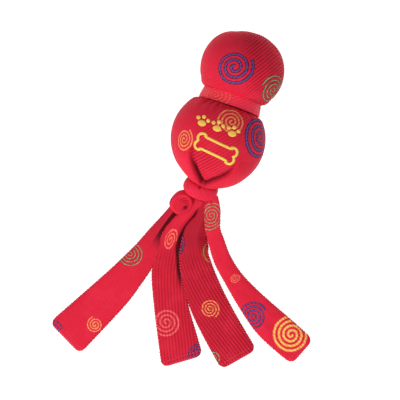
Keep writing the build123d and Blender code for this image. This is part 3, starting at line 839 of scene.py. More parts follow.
def build_collar():
    """The folded band round the neck, and its free end lapped over at the back."""
    long = COLLAR_END - COLLAR_START
    outline = [
        (0.5, -1.5), (0.05, -0.7), (0.35, 0.0), (2.5, 0.35), (5.4, 0.3), (8.6, 0.25), (10.4, -0.05),
        (10.8, -0.7), (10.3, -1.4), (8.0, -1.75), (5.4, -1.8), (2.4, -1.75), (0.5, -1.5),
    ]
    line, _ = spaced(curve(outline, 8), 0.5)
    line = line[:-1]
    cols = 260
    phi = np.linspace(0, TAU, cols, endpoint=False)
    a = line[:, 0, None] + 0 * phi
    taper = -1.7 * (a / long) + 0.75
    wave = (
        0.28 * np.sin(3 * phi + 0.6) + 0.16 * np.sin(8 * phi + 2.0)
        + 0.22 * np.sin(21 * phi + a * 0.5) * ramp(a, 4, 0)
    )
    r = COLLAR_R - 0.35 + line[:, 1, None] + taper + wave
    a = a + 0.35 * np.sin(2 * phi + 0.5) * (0.5 + a / long)
    p = np.stack([r * np.sin(phi), a + COLLAR_START, r * np.cos(phi)], -1)
    weave = np.stack([a * 0.8 - phi * COLLAR_R * 0.6, phi * COLLAR_R * 0.8 + a * 0.6], -1).reshape(-1, 2)
    motif = np.stack([np.where(phi > math.pi, phi - TAU, phi) * COLLAR_R + 0 * a, a - 5.4], -1).reshape(-1, 2)
    p = p + 0.06 * np.cos(weave[:, 0].reshape(a.shape) * TAU / RIB)[..., None] * unit(p * [1, 0, 1])
    points = tilted(p.reshape(-1, 3), SPINE_TILT) + TORSO
    rows = len(line)
    faces = quads(rows, cols)
    faces += [
        [(rows - 1) * cols + j, (rows - 1) * cols + (j + 1) % cols, (j + 1) % cols, j] for j in range(cols)
    ]
    # painted light: the band's plain red is lighter than its lap's, for the light it catches; the salmon
    # spiral is a woven motif, and its bright glint thread also stands in as a painted highlight
    glint = srgb("ff7460")
    material = cloth(
        "collar_cloth",
        [
            dict(
                thread=(glint, srgb("f4343c")), x=-15.5, y=-0.6, radius=16.0, turns=4.2, start=60,
                squash=0.74,
            )
        ],
        gloss=0.1,
        plain=srgb("ff3450"),
    )
    obj = make("neck_band", points, faces, material, motif, weave, np.full(len(points), 0.3))
    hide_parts("neck_collar")
    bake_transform(obj)
    # its lapped free end, at the back
    U, V = np.meshgrid(np.linspace(-1, 1, 41), np.linspace(-1, 1, 31))
    soft = (1 - np.abs(U) ** 8) * (1 - np.abs(V) ** 8)
    phi2 = math.pi + U * LAP_WIDE / COLLAR_R + 0.02 * V
    a2 = 5.2 + V * LAP_HIGH + 0.25 * np.sin(3 * U)
    r2 = COLLAR_R - 1.9 * a2 / long + 0.25
    outer = r2 + 1.5 * soft**0.35
    inner = r2 - 0.3
    sides = []
    for rr in (outer, inner):
        sides.append(np.stack([rr * np.sin(phi2), a2 + COLLAR_START, rr * np.cos(phi2)], -1).reshape(-1, 3))
    points = tilted(np.vstack(sides), SPINE_TILT) + TORSO
    weave = np.stack([V * LAP_HIGH, U * LAP_WIDE], -1).reshape(-1, 2)
    lap = make(
        "neck_band_lap", points, slab(*U.shape), cloth("collar_lap_cloth", gloss=0.1),
        np.vstack([weave] * 2), ribs=np.full(len(points), 0.3),
    )
    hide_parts("neck_collar_lap")
    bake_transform(lap)


# ---------------------------------------------------------------- the knot
KNOT_MIDDLE, KNOT_R = 48, 14  # from the torso's centre, and about how thick the wound cloth is


def knot_place(a, x, up):
    """A point a along the knot's axis from the torso centre, x to the right and up from the axis."""
    return (
        TORSO + np.multiply.outer(a, KNOT_AXIS) + np.multiply.outer(x, RIGHT)
        + np.multiply.outer(up, KNOT_UP)
    )


def build_wrap():
    """The cloth wound round the knot, with its folds."""
    outline = curve(
        [
            (44.5, 4.0), (42.6, 8.0), (41.4, 11.2), (41.6, 13.0), (43.6, 14.6), (46.5, 15.2), (49.5, 15.1),
            (52.0, 14.3), (53.8, 12.6), (54.0, 10.0), (52.8, 6.5), (52.0, 3.0),
        ],
        10,
    )
    line, _ = spaced(outline, 0.5)
    cols = 210
    phi = np.linspace(0, TAU, cols, endpoint=False)
    a = line[:, 0, None] + 0 * phi
    r = line[:, 1, None] + 0 * phi
    turn = np.where(phi > math.pi, phi - TAU, phi)[None]
    folds = np.zeros_like(r)
    for at, depth, width, slope in KNOT_FOLDS:
        folds -= (
            depth * np.exp(-(((a - KNOT_MIDDLE - slope * np.sin(turn) - at) / width) ** 2))
            * (0.30 + 0.70 * ramp(-np.sin(turn), -0.75, 0.1))
        )
    folds += 0.35 * wobble(np.stack([r * np.sin(turn), a, r * np.cos(turn)], -1), 5.0)
    for x0, a0, depth, width in KNOT_PITS:
        folds -= (
            depth * np.exp(-(((r * np.sin(turn) - x0) ** 2 + (a - a0) ** 2) / width**2))
            * (np.cos(turn) > 0)
        )
    r = r + folds * ramp(r, 6, 12)
    p = knot_place(a, r * np.sin(turn), 0.94 * r * np.cos(turn)).reshape(-1, 3)
    weave = np.stack([a * 0.75 - turn * KNOT_R * 0.66, turn * KNOT_R * 0.75 + a * 0.66], -1).reshape(-1, 2)
    rows = len(line)
    points = np.vstack([p, knot_place(44.8, 0.0, 0.0)[None], knot_place(51.8, 0.0, 0.0)[None]])
    faces = closed(rows, cols)
    # painted shade: the knot's folds are darkened, the deeper the darker
    obj = make(
        "knot_wrap_cloth", points, faces, cloth("knot_cloth", plain=srgb("dd2641")),
        np.vstack([weave, [[0, 0]] * 2]), ribs=np.full(len(points), 0.22),
        shade=np.r_[np.clip(-folds.reshape(-1) - 0.4, 0, None) * 0.45, 1, 1],
    )
    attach(obj, "torso")
    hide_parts("knot_wrap")


# each fold round the knot: where it is along the knot's axis from its middle, its depth, width and slope
KNOT_FOLDS = [
    (-9.5, 0.6, 0.8, 13), (-6.4, 0.35, 0.5, 15), (-4.4, 0.5, 0.6, 16), (-2.4, 0.3, 0.45, 16),
    (-0.6, 0.5, 0.55, 17), (1.3, 0.3, 0.45, 16), (3.2, 0.45, 0.5, 16), (7.0, 0.3, 0.7, 14),
]
KNOT_PITS = [(-0.9, 42.2, 1.7, 1.2)]


def build_gather():
    """The gathered cloth that comes out of the knot and opens into the tails' roots."""
    outline = [
        (39.0, 8.6, 8.6), (45.0, 9.5, 9.0), (51.0, 10.8, 9.0), (54.0, 12.6, 7.6), (56.5, 14.0, 6.4),
        (58.0, 14.4, 5.0), (58.2, 12.4, 3.2), (57.0, 7.0, 1.2),
    ]
    line, _ = spaced(curve(outline, 10), 0.55)
    cols = 190
    phi = np.linspace(0, TAU, cols, endpoint=False)[None]
    a, wide, high = (line[:, i, None] + 0 * phi for i in range(3))
    pleat = 1 + (0.10 * np.cos(15 * phi) + 0.05 * np.cos(23 * phi + 1)) * ramp(a, 44, 52)
    # painted shade: darker in the pleats' hollows and towards the gathered end
    shade = np.clip((1.02 - pleat) * 5, 0, 0.75) + 0.6 * ramp(a, 56.5, 58)
    x = wide * pleat * np.sin(phi) + 0.4 + 1.6 * ramp(a, 50, 57)
    up = high * pleat * np.cos(phi) - 2.2 * ramp(a, 48, 58)
    p = knot_place(a, x, up).reshape(-1, 3)
    weave = np.stack([phi * 13 + 0 * a, a + 0 * phi], -1).reshape(-1, 2)
    rows = len(line)
    points = np.vstack([p, knot_place(39.0, 0.0, 0.0)[None], knot_place(56.8, 0.4, -2.0)[None]])
    faces = closed(rows, cols)
    obj = make(
        "knot_gather", points, faces, cloth("gather_cloth", plain=srgb("c81e36")),
        np.vstack([weave, [[0, 0]] * 2]), ribs=np.full(len(points), 0.15),
        shade=np.r_[shade.reshape(-1), 1, 1],
    )
    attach(obj, "torso")
    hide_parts("knot_bundle", "knot_fan")


def build_loop():
    """The loop of cloth that folds over tail 1's root, left of the knot: a rounded hood over a ribbed
    hollow, with painted shade in the hollow and its pit.
    """
    rows, cols = 90, 150
    lat = np.linspace(0.02, math.pi - 0.02, rows)[:, None]
    phi = np.linspace(0, TAU, cols, endpoint=False)[None]
    n = np.stack([np.sin(lat) * np.cos(phi), np.sin(lat) * np.sin(phi), np.cos(lat) + 0 * phi], -1)
    soft = np.sign(n) * np.abs(n) ** np.array([0.92, 0.92, 0.85])
    p = soft * np.array([9.3, 11.0, 7.4])
    x, y, up = p[..., 0], p[..., 1], n[..., 2]
    # the hollow under the hood, ribbed across, with a pit at the side of the knot
    out = ((x - 1.8) / 6.4) ** 2 + ((y + 0.6) / 7.2) ** 2
    mouth = ramp(out, 1.55, 0.55) * ramp(up, 0.1, 0.3)
    from_pit = np.hypot(x - 6.2, y - 0.4)
    pit = np.exp(-(((x - 5.8) / 1.5) ** 2 + ((y - 0.4) / 2.5) ** 2)) * (up > 0.15)
    inner = 0.26 * np.cos(from_pit * TAU / 1.9) * mouth - 1.9 * mouth - 1.8 * pit
    lip = 0.35 * np.exp(-(((out - 1.6) / 0.5) ** 2)) * (up > 0.15)
    p[..., 2] += inner + lip
    p = p + (0.35 * wobble(n * 10, 7.0))[..., None] * n
    turn = math.radians(-34)
    c, s = math.cos(turn), math.sin(turn)
    q = np.stack([p[..., 0] * c - p[..., 1] * s, p[..., 0] * s + p[..., 1] * c, p[..., 2]], -1).reshape(-1, 3)
    q[:, 2] += 0.30 * (q[:, 1]) * (q[:, 1] < 0) + 0.10 * q[:, 1]
    centre = np.array([-11.8, -62.0, 21.8])
    weave = p[..., :2].reshape(-1, 2)
    strength = np.full(rows * cols, 0.06)
    points = np.vstack([q, q[:cols].mean(0), q[-cols:].mean(0)]) + centre
    faces = closed(rows, cols)
    material = cloth("loop_cloth", [dict(thread=BLUE, x=-10.4, y=-8.6, radius=6.4, turns=2.4, start=60)])
    # painted shade: the pit is darkened strongly, and the hollow's rib grooves a little
    obj = make(
        "knot_loop", points, faces, material, np.vstack([weave, [[0, 0]] * 2]),
        np.vstack([weave[:, ::-1], [[0, 0]] * 2]), np.r_[strength, 0, 0],
        shade=np.r_[(0.85 * pit + 0.13 * mouth * (1 - np.cos(from_pit * TAU / 1.9))).reshape(-1), 0, 0],
    )
    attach(obj, "torso")


# ---------------------------------------------------------------- the tails
TAIL_CLOTH = 2.0  # half the thickness of a tail's two plies and their filling
END_CORNER, END_ROUND = 6.0, 2.3
STITCH_PITCH = 2.6
CUT_Y = -80.0  # a tail's upper and lower pieces meet here
HEIGHTS = np.array(
    [
        (-300, 2.3), (-125, 2.3), (-104, 3.0), (-92, 5.9), (-80, 10.0), (-70, 13.8), (-62, 17.2),
        (-56, 20.6), (-50, 23.6), (-44, 25.5),
    ]
)

NOWHERE = (2.0, 3.0)  # a ramp between these is 0 everywhere on a tail

# line: the stations of a tail, each x, y and how wide it is there. ribs: how strong its ribs are. skew: how
# far they
# lean. wave: how high its free part waves. slant: how far its free end is cut askew. dips: between these y it
# stops
# dipping under the next tail, and widens: how far across that starts. dark, until and root: where the painted
# shade under the next tail lies across it and along it, and how dark the painted shade on its root is. A
# spiral's place is in plan.
TAILS = {
    1: dict(
        line=[
            (-8.0, -50, 6), (-12.6, -59, 8.4), (-16.0, -72.5, 10), (-19.8, -84.5, 12), (-23.2, -97.5, 16),
            (-26, -110.5, 20.5), (-29, -122.5, 25), (-35, -138.5, 28.5), (-43.7, -158.8, 32.5),
            (-68.4, -208.1, 38),
        ],
        ribs=0.10, skew=0.0, wave=1.2, widens=0.05,
        dips=(-104, -94), dark=(-0.06, 0.12), until=(-112, -92), root=0.34,
        spirals=[
            dict(thread=GREEN, at=(-38.8, -119.0), radius=12.8, turns=4.1, start=150, cover=0.8),
            dict(thread=GOLD, at=(-47.4, -188.0), radius=7.4, turns=3.0, start=200),
            dict(thread=BLUE, at=(-81.0, -204.5), radius=9.0, turns=2.6, start=90),
        ],
    ),
    2: dict(
        line=[
            (3.0, -49, 9), (1.2, -57, 10.5), (-2.4, -68, 11.5), (-7.4, -80, 14), (-10.0, -92, 17.2),
            (-9.8, -103, 19.8), (-7.2, -114, 22.8), (-2.3, -128, 26.5), (12, -155.2, 30.2),
            (23.6, -174.5, 33.8), (34.8, -193.4, 37),
        ],
        # painted shade: plain is darker than tails 1 and 4, for the shade of this tail's stronger ribs
        ribs=0.56, skew=0.10, wave=0.9, slant=0.09, plain=srgb("cd1f36"),
        dips=(-140, -128), dark=(0.48, 0.62), until=(-142, -126), root=0.0,
        spirals=[
            dict(thread=SALMON, at=(-10.0, -96.5), radius=5.6, turns=2.8, start=60, squash=2.0, cover=0.8),
            dict(
                thread=(srgb("f4766c"), srgb("dd4450")), at=(10.4, -165.4), radius=13.0, turns=3.4, start=20
            ),
            dict(thread=BLUE, at=(47.5, -184), radius=10.5, turns=3.4, start=120),
        ],
    ),
    3: dict(
        line=[
            (8.8, -49, 10), (8.9, -58, 10.5), (9.3, -69, 11.5), (8.2, -76, 15), (7.8, -83, 18.3),
            (9.9, -93.4, 21.4), (16.2, -107.6, 27.4), (25, -121, 30.5), (38.8, -137.2, 32.8),
            (55, -152.9, 34), (80.8, -175.5, 35),
        ],
        # painted shade: plain is darker than tails 1 and 4, for the shade of this tail's stronger ribs
        ribs=0.64, skew=-0.14, wave=0.7, plain=srgb("c21d33"),
        dips=(-104, -94), dark=(0.66, 0.92), until=(-102, -92), root=0.30,
        spirals=[
            dict(thread=BLUE, at=(-8.5, -98), radius=12.0, turns=2.6, start=200),
            dict(thread=ORANGE, at=(33.0, -93.0), radius=17.0, turns=3.6, start=200, cover=0.85),
            dict(thread=GOLD, at=(42.3, -142.0), radius=8.8, turns=3.3, start=330),
            dict(thread=GREEN, at=(59.0, -181.5), radius=7.0, turns=2.4, start=0),
        ],
    ),
    4: dict(
        line=[
            (11.5, -48, 10), (13.8, -54, 12.5), (16.2, -61, 14.5), (18.6, -68, 14), (21.8, -75.8, 13),
            (28.3, -84.9, 14), (38.4, -97.9, 15.2), (53, -110.5, 16.8), (71, -122.6, 22),
            (91.4, -134.4, 28), (108.8, -142.1, 29.5), (130.7, -150.8, 28.5),
        ],
        ribs=0.06, skew=0.0, wave=1.6,
        dips=NOWHERE, dark=NOWHERE, until=NOWHERE, root=0.0,
        spirals=[
            dict(
                thread=GREEN, at=(16.6, -64.5), radius=11.8, turns=4.6, start=300, lean=0.3, squash=1.15,
                cover=0.74,
            ),
            dict(thread=SALMON, at=(54.8, -109.4), radius=5.4, turns=2.8, start=0, squash=0.75),
            dict(thread=BLUE, at=(79.7, -135.5), radius=12.8, turns=3.8, start=80),
            dict(thread=YELLOW, at=(116.4, -139.6), radius=18.0, turns=4.2, start=340),
        ],
    ),
}


def tail_line(spec):
    line, along = spaced(curve(spec["line"], 24), 1.15, dims=2)
    t = unit(np.gradient(line[:, :2], axis=0))
    side = np.stack([-t[:, 1], t[:, 0]], 1)
    return line, along, t, side


def with_ends(grid, ends):
    """The grid's values, one row for each point, and after them the middle of its first ring, or of both
    end rings.
    """
    middles = [ring.mean(0)[None] for ring in (grid[0], grid[-1])[:ends]]
    return np.concatenate([grid.reshape(-1, grid.shape[-1]), *middles])


def build_tail(i, spec):
    """One tail: its upper and lower pieces of cloth, and the stitches over its edges and across its end."""
    line, along, t, side = tail_line(spec)
    total = along[-1]
    # closer rows where the end rounds off
    keep = along < total - END_CORNER - 0.5
    last = (
        total
        - np.r_[
            np.linspace(END_CORNER + 0.4, 2.6, 7), 2.6 * (1 - np.sin(np.linspace(0.12, math.pi / 2, 9)))
        ]
    )
    rows_at = np.r_[along[keep], last]
    pick = lambda values: np.stack(
        [np.interp(rows_at, along, values[:, k]) for k in range(values.shape[1])], 1
    )
    line, t, side = pick(line), unit(pick(t)), unit(pick(side))
    y = line[:, 1]
    left = total - rows_at
    half = line[:, 2] / 2
    corner = np.minimum(END_CORNER, half)
    inset = np.clip(corner - left, 0, None)
    half = half - corner + np.sqrt(np.clip(corner**2 - inset**2, 0.01, None))
    edge_wave = 0.16 * np.cos(rows_at * TAU / STITCH_PITCH)
    thick = (
        TAIL_CLOTH
        * np.sqrt(np.clip(1 - ((END_ROUND - np.minimum(left, END_ROUND)) / END_ROUND) ** 2, 0, 1))
    )
    centre = np.interp(y, HEIGHTS[:, 0], HEIGHTS[:, 1])
    kernel = np.hanning(9) / np.hanning(9).sum()
    centre = np.convolve(np.pad(centre, 4, mode="edge"), kernel, mode="valid")
    flat_part = ramp(y, -108, -125)
    centre = (
        centre
        + flat_part * spec["wave"] * 0.5 * (
            1 + np.sin(rows_at / 15.0 + i * 1.9)
        ) * (0.4 + 0.6 * ramp(left, 0, 30))
    )
    count = max(40, int(line[:, 2].max() / 0.42))
    u = np.sin(np.linspace(-math.pi / 2, math.pi / 2, 17))
    places = np.unique(
        np.round(np.r_[np.linspace(-0.94, 0.94, count), -1 + (u[:8] + 1) * 0.5, 1 - (u[:8] + 1) * 0.5], 4)
    )
    shingle = ramp(y, -60, -68) * ramp(y, *spec["dips"])
    reach = (half + edge_wave)[:, None]
    # the right side widens and dips under the next tail
    right = ramp(places, spec.get("widens", 0.30), 0.8)[None]
    sideways = (
        places[None] * reach + right * shingle[:, None] * np.interp(y, [-108, -98], [0.9, 2.2])[:, None]
    )
    slant = spec.get("slant", 0.0) * ramp(left, 26, 2)[:, None]
    drop = right * shingle[:, None] * np.minimum(5.0, centre - 2.4)[:, None]
    shape = np.sqrt(np.clip(1 - np.abs(places) ** 5, 0, 1))[None]
    pillow = 1 + 0.10 * (1 - places[None] ** 2)
    v = rows_at[:, None]
    weave_u = np.concatenate(
        [sideways + spec["skew"] * v, (sideways - spec["skew"] * v)[:, ::-1][:, 1:-1]], 1
    )
    strong = spec["ribs"] * (0.12 + 0.88 * ramp(y, -92, -112))[:, None]
    ribs = (
        0.17 * strong * np.cos((sideways + spec["skew"] * v) * TAU / RIB)
        * (1 - np.abs(places[None]) ** 6) * (thick / TAIL_CLOTH)[:, None]
    )
    crease = (
        0.25 * wobble(np.stack([sideways, rows_at[:, None] * 0.35 + 0 * sideways, 0 * sideways], -1), 5.0)
        * (1 - places[None] ** 2)
    )
    top = centre[:, None] - drop + thick[:, None] * shape * pillow + ribs + crease
    bottom = centre[:, None] - drop - thick[:, None] * shape * 0.95 + 0.5 * ribs
    bottom = np.maximum(bottom, 0.15)
    top = np.maximum(top, bottom)
    xy = line[:, None, :2] + sideways[..., None] * side[:, None] - (slant * sideways)[..., None] * t[:, None]
    upper = np.concatenate([xy, top[..., None]], -1)
    lower = np.concatenate([xy, bottom[..., None]], -1)[:, ::-1][:, 1:-1]
    loop = np.concatenate([upper, lower], 1)
    flat = np.concatenate(
        [
            np.stack([sideways, v + 0 * sideways], -1),
            np.stack([sideways + UNDERSIDE, v + 0 * sideways], -1)[:, ::-1][:, 1:-1],
        ],
        1,
    )
    cols = loop.shape[1]
    weave = np.stack([weave_u, flat[..., 1]], -1)
    rib_strength = strong + np.zeros((1, cols))
    # painted shade: the strip that dips under the next tail is darkened across and along it, the root by the
    # spec's root, and the under side a little where it dips
    further = 0.1 * ramp(y, -100, -112)[:, None]
    under = (
        ramp(places[None] - further, *spec["dark"]) * (ramp(y, -58, -66) * ramp(y, *spec["until"]))[:, None]
    )
    roots = spec["root"] * ramp(y, -118, -86)
    under = np.maximum(under, roots[:, None])
    shade = np.concatenate([under, np.maximum(under, 0.25 * shingle[:, None])[:, ::-1][:, 1:-1]], 1)

    spirals = []
    for s in spec["spirals"]:
        s = dict(s)
        px, py = s.pop("at")
        d = np.hypot(line[:, 0] - px, line[:, 1] - py)
        k = int(d.argmin())
        rel = np.array([px, py]) - line[k, :2]
        s["x"], s["y"] = float(rel @ side[k]), float(rows_at[k] + rel @ t[k])
        spirals.append(s)
    for k, thread in enumerate((BLUE, YELLOW, GREEN)):
        spirals.append(
            dict(
                thread=thread, x=UNDERSIDE + (-1) ** (k + i) * 7, y=total - 24 - 38 * k, radius=9.5,
                turns=3.0, start=60 * k,
            )
        )
    material = cloth(f"tail_{i}_cloth", spirals, plain=spec.get("plain", RED))
    cut = int(np.abs(y - CUT_Y).argmin())
    parts = {"upper": slice(0, cut + 1), "lower": slice(cut, len(y))}
    for part, rows in parts.items():
        n = len(loop[rows])
        # the lower piece's end closes by itself, where the cloth's thickness comes down to nothing
        ends = 2 if part == "upper" else 1
        faces = closed(n, cols) if part == "upper" else quads(n, cols) + cap(0, cols, n * cols)
        grids = (loop, flat, weave, rib_strength[..., None], shade[..., None])
        points, uv, ribbed, strength_at, shade_at = (with_ends(grid[rows], ends) for grid in grids)
        obj = make(
            f"tail_{i}_{part}_cloth", points, faces, material, uv, ribbed, strength_at[:, 0],
            crisp_caps=True, shade=shade_at[:, 0],
        )
        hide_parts(f"tail_{i}_{part}_face", f"tail_{i}_{part}_back")
        bend(obj)

    tail = SimpleNamespace(
        number=i, total=total, rows_at=rows_at, line=line, t=t, side=side, thick=thick, centre=centre,
        half=half, upper=upper, across=sideways, slant=spec.get("slant", 0.0),
    )
    for part in parts:
        paths = edge_stitches(tail, part)
        if paths:
            edge = threads(f"tail_{i}_{part}_overcast", paths, 0.40, THREAD)
            bend(edge)
    hem = threads(f"tail_{i}_hem", end_stitches(tail) + hem_stitches(tail), 0.32, HEM_THREAD)
    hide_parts(f"tail_{i}_hem_stitches")
    bend(hem)


def edge_stitches(tail, part):
    """Overcast stitches over both long edges of one of a tail's pieces, where they show."""
    low, high = (0, CUT_Y) if part == "upper" else (CUT_Y, -1e9)
    in_knot = 20.0 if part == "upper" else 0.0
    covered = -87 if tail.number < 4 else 0
    paths = []
    for at in np.arange(STITCH_PITCH / 2, tail.total - END_CORNER + 1, STITCH_PITCH):
        y = np.interp(at, tail.rows_at, tail.line[:, 1])
        if not (high < y <= low) or at < in_knot or y > covered:
            continue
        k = int(np.abs(tail.rows_at - at).argmin())
        for hand in (-1, 1):
            base = tail.upper[k, 0 if hand < 0 else -1]
            a = np.radians(np.linspace(-100, 100, 9))
            out = np.cos(a) * 1.7 - 1.45
            rise = np.sin(a) * (0.72 * tail.thick[k] + 0.05)
            lean = np.linspace(-0.5, 0.5, 9)
            path = np.empty((9, 3))
            path[:, :2] = base[:2] + np.outer(out * hand, tail.side[k]) + np.outer(lean, tail.t[k])
            path[:, 2] = np.maximum(base[2] + rise, 0.35)
            paths.append(path)
    return paths


def end_stitches(tail):
    """Overcast stitches round a tail's free end."""
    span = tail.half[-1]
    paths = []
    for s in np.arange(-span + 0.8, span - 0.4, 2.3):
        a = np.radians(np.linspace(-95, 105, 9))
        out = np.cos(a) * 2.2 - 2.0
        sideways = np.full(9, s) + np.linspace(-0.5, 0.5, 9)
        path = np.empty((9, 3))
        path[:, :2] = (
            tail.line[-1, :2] + np.outer(sideways, tail.side[-1])
            + np.outer(out - tail.slant * s, tail.t[-1])
        )
        path[:, 2] = np.maximum(tail.centre[-1] + np.sin(a) * (TAIL_CLOTH + 0.1), 0.35)
        paths.append(path)
    return paths


def hem_stitches(tail):
    """The row of stitches that lies across a tail's face, short of its free end."""
    wide = tail.line[-1, 2] / 2
    paths = []
    for s in np.arange(-wide + 3.5, wide - 2.5, 2.9):
        at = tail.total - 4.6 + 0.35 * math.sin(s * 2.1)
        k = int(np.abs(tail.rows_at - at).argmin())
        place = tail.upper[k, int(np.abs(tail.across[k] - s).argmin())]
        x = np.linspace(-1.05, 1.05, 7)
        path = np.empty((7, 3))
        path[:, :2] = place[:2] + np.outer(x, tail.side[k])
        path[:, 2] = place[2] + 0.12 - 0.35 * (x / 1.05) ** 4
        paths.append(path)
    return paths


def bend(obj):
    """A tail piece's placement, baked into its mesh."""
    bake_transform(obj)


# ---------------------------------------------------------------- embroidery
def on_torso(x, y, lift):
    """Points over plan places (x, y), lift above the torso cover."""
    plan = np.stack([x, y], -1) / TORSO_R
    n = np.concatenate([plan, np.sqrt(np.clip(1 - (plan**2).sum(-1, keepdims=True), 0.01, 1))], -1)
    n = unit(n)
    r = TORSO_R - 0.15 + torso_relief(n.reshape(-1, 3)).reshape(n.shape[:-1]) + lift
    return TORSO + n * r[..., None]


def satin(line, width, pitch=0.5, height=0.42, lean=0.35):
    """Satin stitches across a closed or open plan line of that stroke width."""
    fine, _ = spaced(line, pitch)
    t = unit(np.gradient(fine, axis=0))
    side = np.stack([-t[:, 1], t[:, 0]], 1)
    s = np.linspace(-1, 1, 7)
    out = []
    for p, d, n in zip(fine, t, side):
        q = p + np.outer(s * width / 2, n) + np.outer(s * lean * width / 2, d)
        out.append(on_torso(q[:, 0], q[:, 1], height * (1 - s**4) - 0.1))
    return out


def filled(x, y, rx, ry, angle=0.0, pitch=0.46):
    """Satin stitches that fill an oval patch."""
    c, s = math.cos(angle), math.sin(angle)
    out = []
    for a in np.arange(-rx + pitch / 2, rx, pitch):
        h = ry * math.sqrt(max(1 - (a / rx) ** 2, 0.04))
        w = np.linspace(-h, h, 7)
        px, py = x + a * c - w * s, y + a * s + w * c
        out.append(on_torso(px, py, 0.45 * (1 - (w / h) ** 4) - 0.1))
    return out


def build_embroidery():
    """A row of three paw prints, and under it the outline of a bone."""
    paws = []
    for x in (-17.0, -3.5, 10.0):
        y = 9.0
        paws += filled(x, y, 3.5, 2.7, 0.1)
        for dx, dy, a in ((-4.4, 3.6, 0.4), (0.0, 5.6, 0.0), (4.4, 3.6, -0.4)):
            paws += filled(x + dx, y + dy, 1.55, 1.7, a)
    half, knob, spread, y0 = 13.5, 3.7, 3.1, -6.5
    corners = []
    for sx, sy in ((1, 1), (-1, 1), (-1, -1), (1, -1)):
        centre = np.array([sx * (half - 0.2), y0 + sy * spread])
        a = np.linspace(-62, 148, 14)
        if sx * sy < 0:
            a = a[::-1]
        a = np.radians(a)
        corners.append(centre + knob * np.stack([np.cos(a) * sx, np.sin(a) * sy], 1))
    loop = np.vstack([*corners, corners[0][:1]])
    loop = curve(loop, 3)
    turn = math.radians(-6)
    middle = np.array([1.2, y0 - 1.0])
    loop = (
        (loop - [0, y0]) @ np.array(
            [[math.cos(turn), math.sin(turn)], [-math.sin(turn), math.cos(turn)]]
        ) * 1.06
        + middle
    )
    bone = satin(loop, 2.3)
    for name, paths, node in (
        ("paws_embroidery", paws, "embroidered_paws"), ("bone_embroidery", bone, "embroidered_bone")
    ):
        obj = threads(name, paths, 0.30, EMBROIDERY, sides=5)
        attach(obj, "torso")
        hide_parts(node)


THREAD = thread_material("overcast_thread", srgb("d92a42"))
HEM_THREAD = thread_material("hem_thread", srgb("df3a54"))
EMBROIDERY = thread_material("embroidery_thread", srgb("f4d05a"), dark=0.3, gloss=0.34)

build_head()
build_torso()
build_lining()
build_flap(
    "torso_fold_left",
    "torso_flap_left",
    LEFT_EDGE,
    [
        (-0.93, 0.20, 0.30), (-0.97, -0.06, 0.18), (-0.93, -0.34, 0.02), (-0.80, -0.58, -0.12),
        (-0.60, -0.76, -0.22), (-0.42, -0.86, -0.28), (-0.30, -0.90, -0.30),
    ],
    TORSO_SPIRALS[:2],
    2.6,
    0.0,
)
build_flap(
    "torso_fold_right",
    "torso_flap_right",
    RIGHT_EDGE,
    [
        (0.97, 0.10, 0.22), (0.98, -0.12, 0.10), (0.93, -0.36, -0.02), (0.80, -0.58, -0.14),
        (0.60, -0.76, -0.22), (0.42, -0.86, -0.28), (0.30, -0.90, -0.30),
    ],
    TORSO_SPIRALS[2:3],
    1.6,
    1.7,
)
build_collar()
build_wrap()
build_gather()
build_loop()
for number, spec in TAILS.items():
    build_tail(number, spec)
build_embroidery()

# the parts inside, which keep their CAD shapes
INNER = {
    "head_ball_core": solid("core_rubber", srgb("3a3836"), srgb("242322"), 900, 0.6),
    "head_ball_felt_upper": solid(
        "ball_felt", srgb("cfe04a"), srgb("9fb52e"), 1800, 0.92, bump=0.9, specular=0.1, sheen=0.5
    ),
    "head_ball_seam": solid("felt_seam_rubber", srgb("ecebe4"), srgb("cfcdc4"), 700, 0.55),
    "squeaker_ball": solid("squeaker_rubber", srgb("e8e2d2"), srgb("cdc5b0"), 500, 0.42),
    "squeaker_cup": solid("squeaker_plastic", srgb("f2f2ee"), srgb("d8d8d2"), 600, 0.35),
    "squeaker_reed": solid("reed_plastic", srgb("e8d9a0"), srgb("cbb878"), 800, 0.3),
}
INNER["head_ball_felt_lower"] = INNER["head_ball_felt_upper"]
INNER["squeaker_lid"] = INNER["squeaker_reed_holder"] = INNER["squeaker_cup"]
for node, material in INNER.items():
    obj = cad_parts[node]
    obj.data.materials.clear()
    obj.data.materials.append(material)

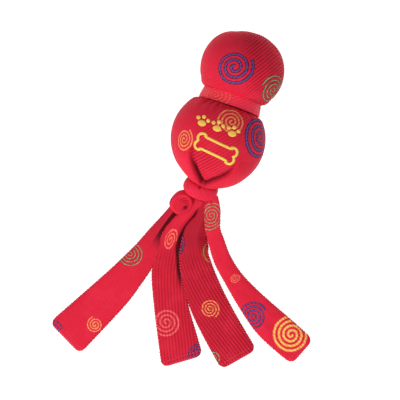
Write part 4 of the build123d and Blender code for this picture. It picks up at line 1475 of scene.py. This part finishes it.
# ---------------------------------------------------------------- studio
def build_floor():
    mesh = bpy.data.meshes.new("floor")
    s = 3.0
    mesh.from_pydata(
        [(-s, -s, -0.0004), (s, -s, -0.0004), (s, s, -0.0004), (-s, s, -0.0004)], [], [[0, 1, 2, 3]]
    )
    floor = bpy.data.objects.new("floor", mesh)
    bpy.context.scene.collection.objects.link(floor)
    n = Nodes("floor_paper")
    n.finish((0.3, 0.3, 0.3, 1.0), 0.9, specular=0.0)
    n.shader.inputs["Emission Color"].default_value = (1, 1, 1, 1)
    n.shader.inputs["Emission Strength"].default_value = 1.0
    mesh.materials.append(n.material)


def add_light(name, place, size, power, colour=(1, 1, 1)):
    light = bpy.data.lights.new(name, "AREA")
    light.shape, light.size, light.energy, light.color = "DISK", size, power, colour
    obj = bpy.data.objects.new(name, light)
    bpy.context.scene.collection.objects.link(obj)
    obj.location = place
    obj.rotation_euler = (Vector((0, 0, 0.03)) - Vector(place)).to_track_quat("-Z", "Y").to_euler()


build_floor()
add_light("key", (-0.22, -1.08, 1.0), 0.6, 16)
add_light("fill", (-0.2, -0.1, 1.6), 0.9, 5)
world = bpy.data.worlds.new("studio")
world.use_nodes = True
world.node_tree.nodes["Background"].inputs[0].default_value = (1, 1, 1, 1)
world.node_tree.nodes["Background"].inputs[1].default_value = 0.46
bpy.context.scene.world = world

LEAN = math.radians(19.3)  # how far the spine leans clockwise in the picture
target = Vector((ORIGIN + [2.9, -54.6, 30.0]) * MM)
LENS, VIEW_WIDTH = 300, 0.344  # a long lens, so that the tails on the floor are as large as the balls' fronts
distance = VIEW_WIDTH * LENS / 36
camera = bpy.data.objects.new("camera", bpy.data.cameras.new("camera"))
bpy.context.scene.collection.objects.link(camera)
camera.data.lens, camera.data.sensor_width = LENS, 36
away = Vector((0, math.sin(math.radians(2)), math.cos(math.radians(2))))
up = Vector((-math.sin(LEAN), math.cos(LEAN), 0))
right = up.cross(away).normalized()
up = away.cross(right)
camera.matrix_world = Matrix((right, up, away)).transposed().to_4x4()
camera.location = target + away * distance
camera.data.clip_start, camera.data.clip_end = 0.05, 20
bpy.context.scene.camera = camera
bpy.context.scene.view_settings.view_transform = "Standard"
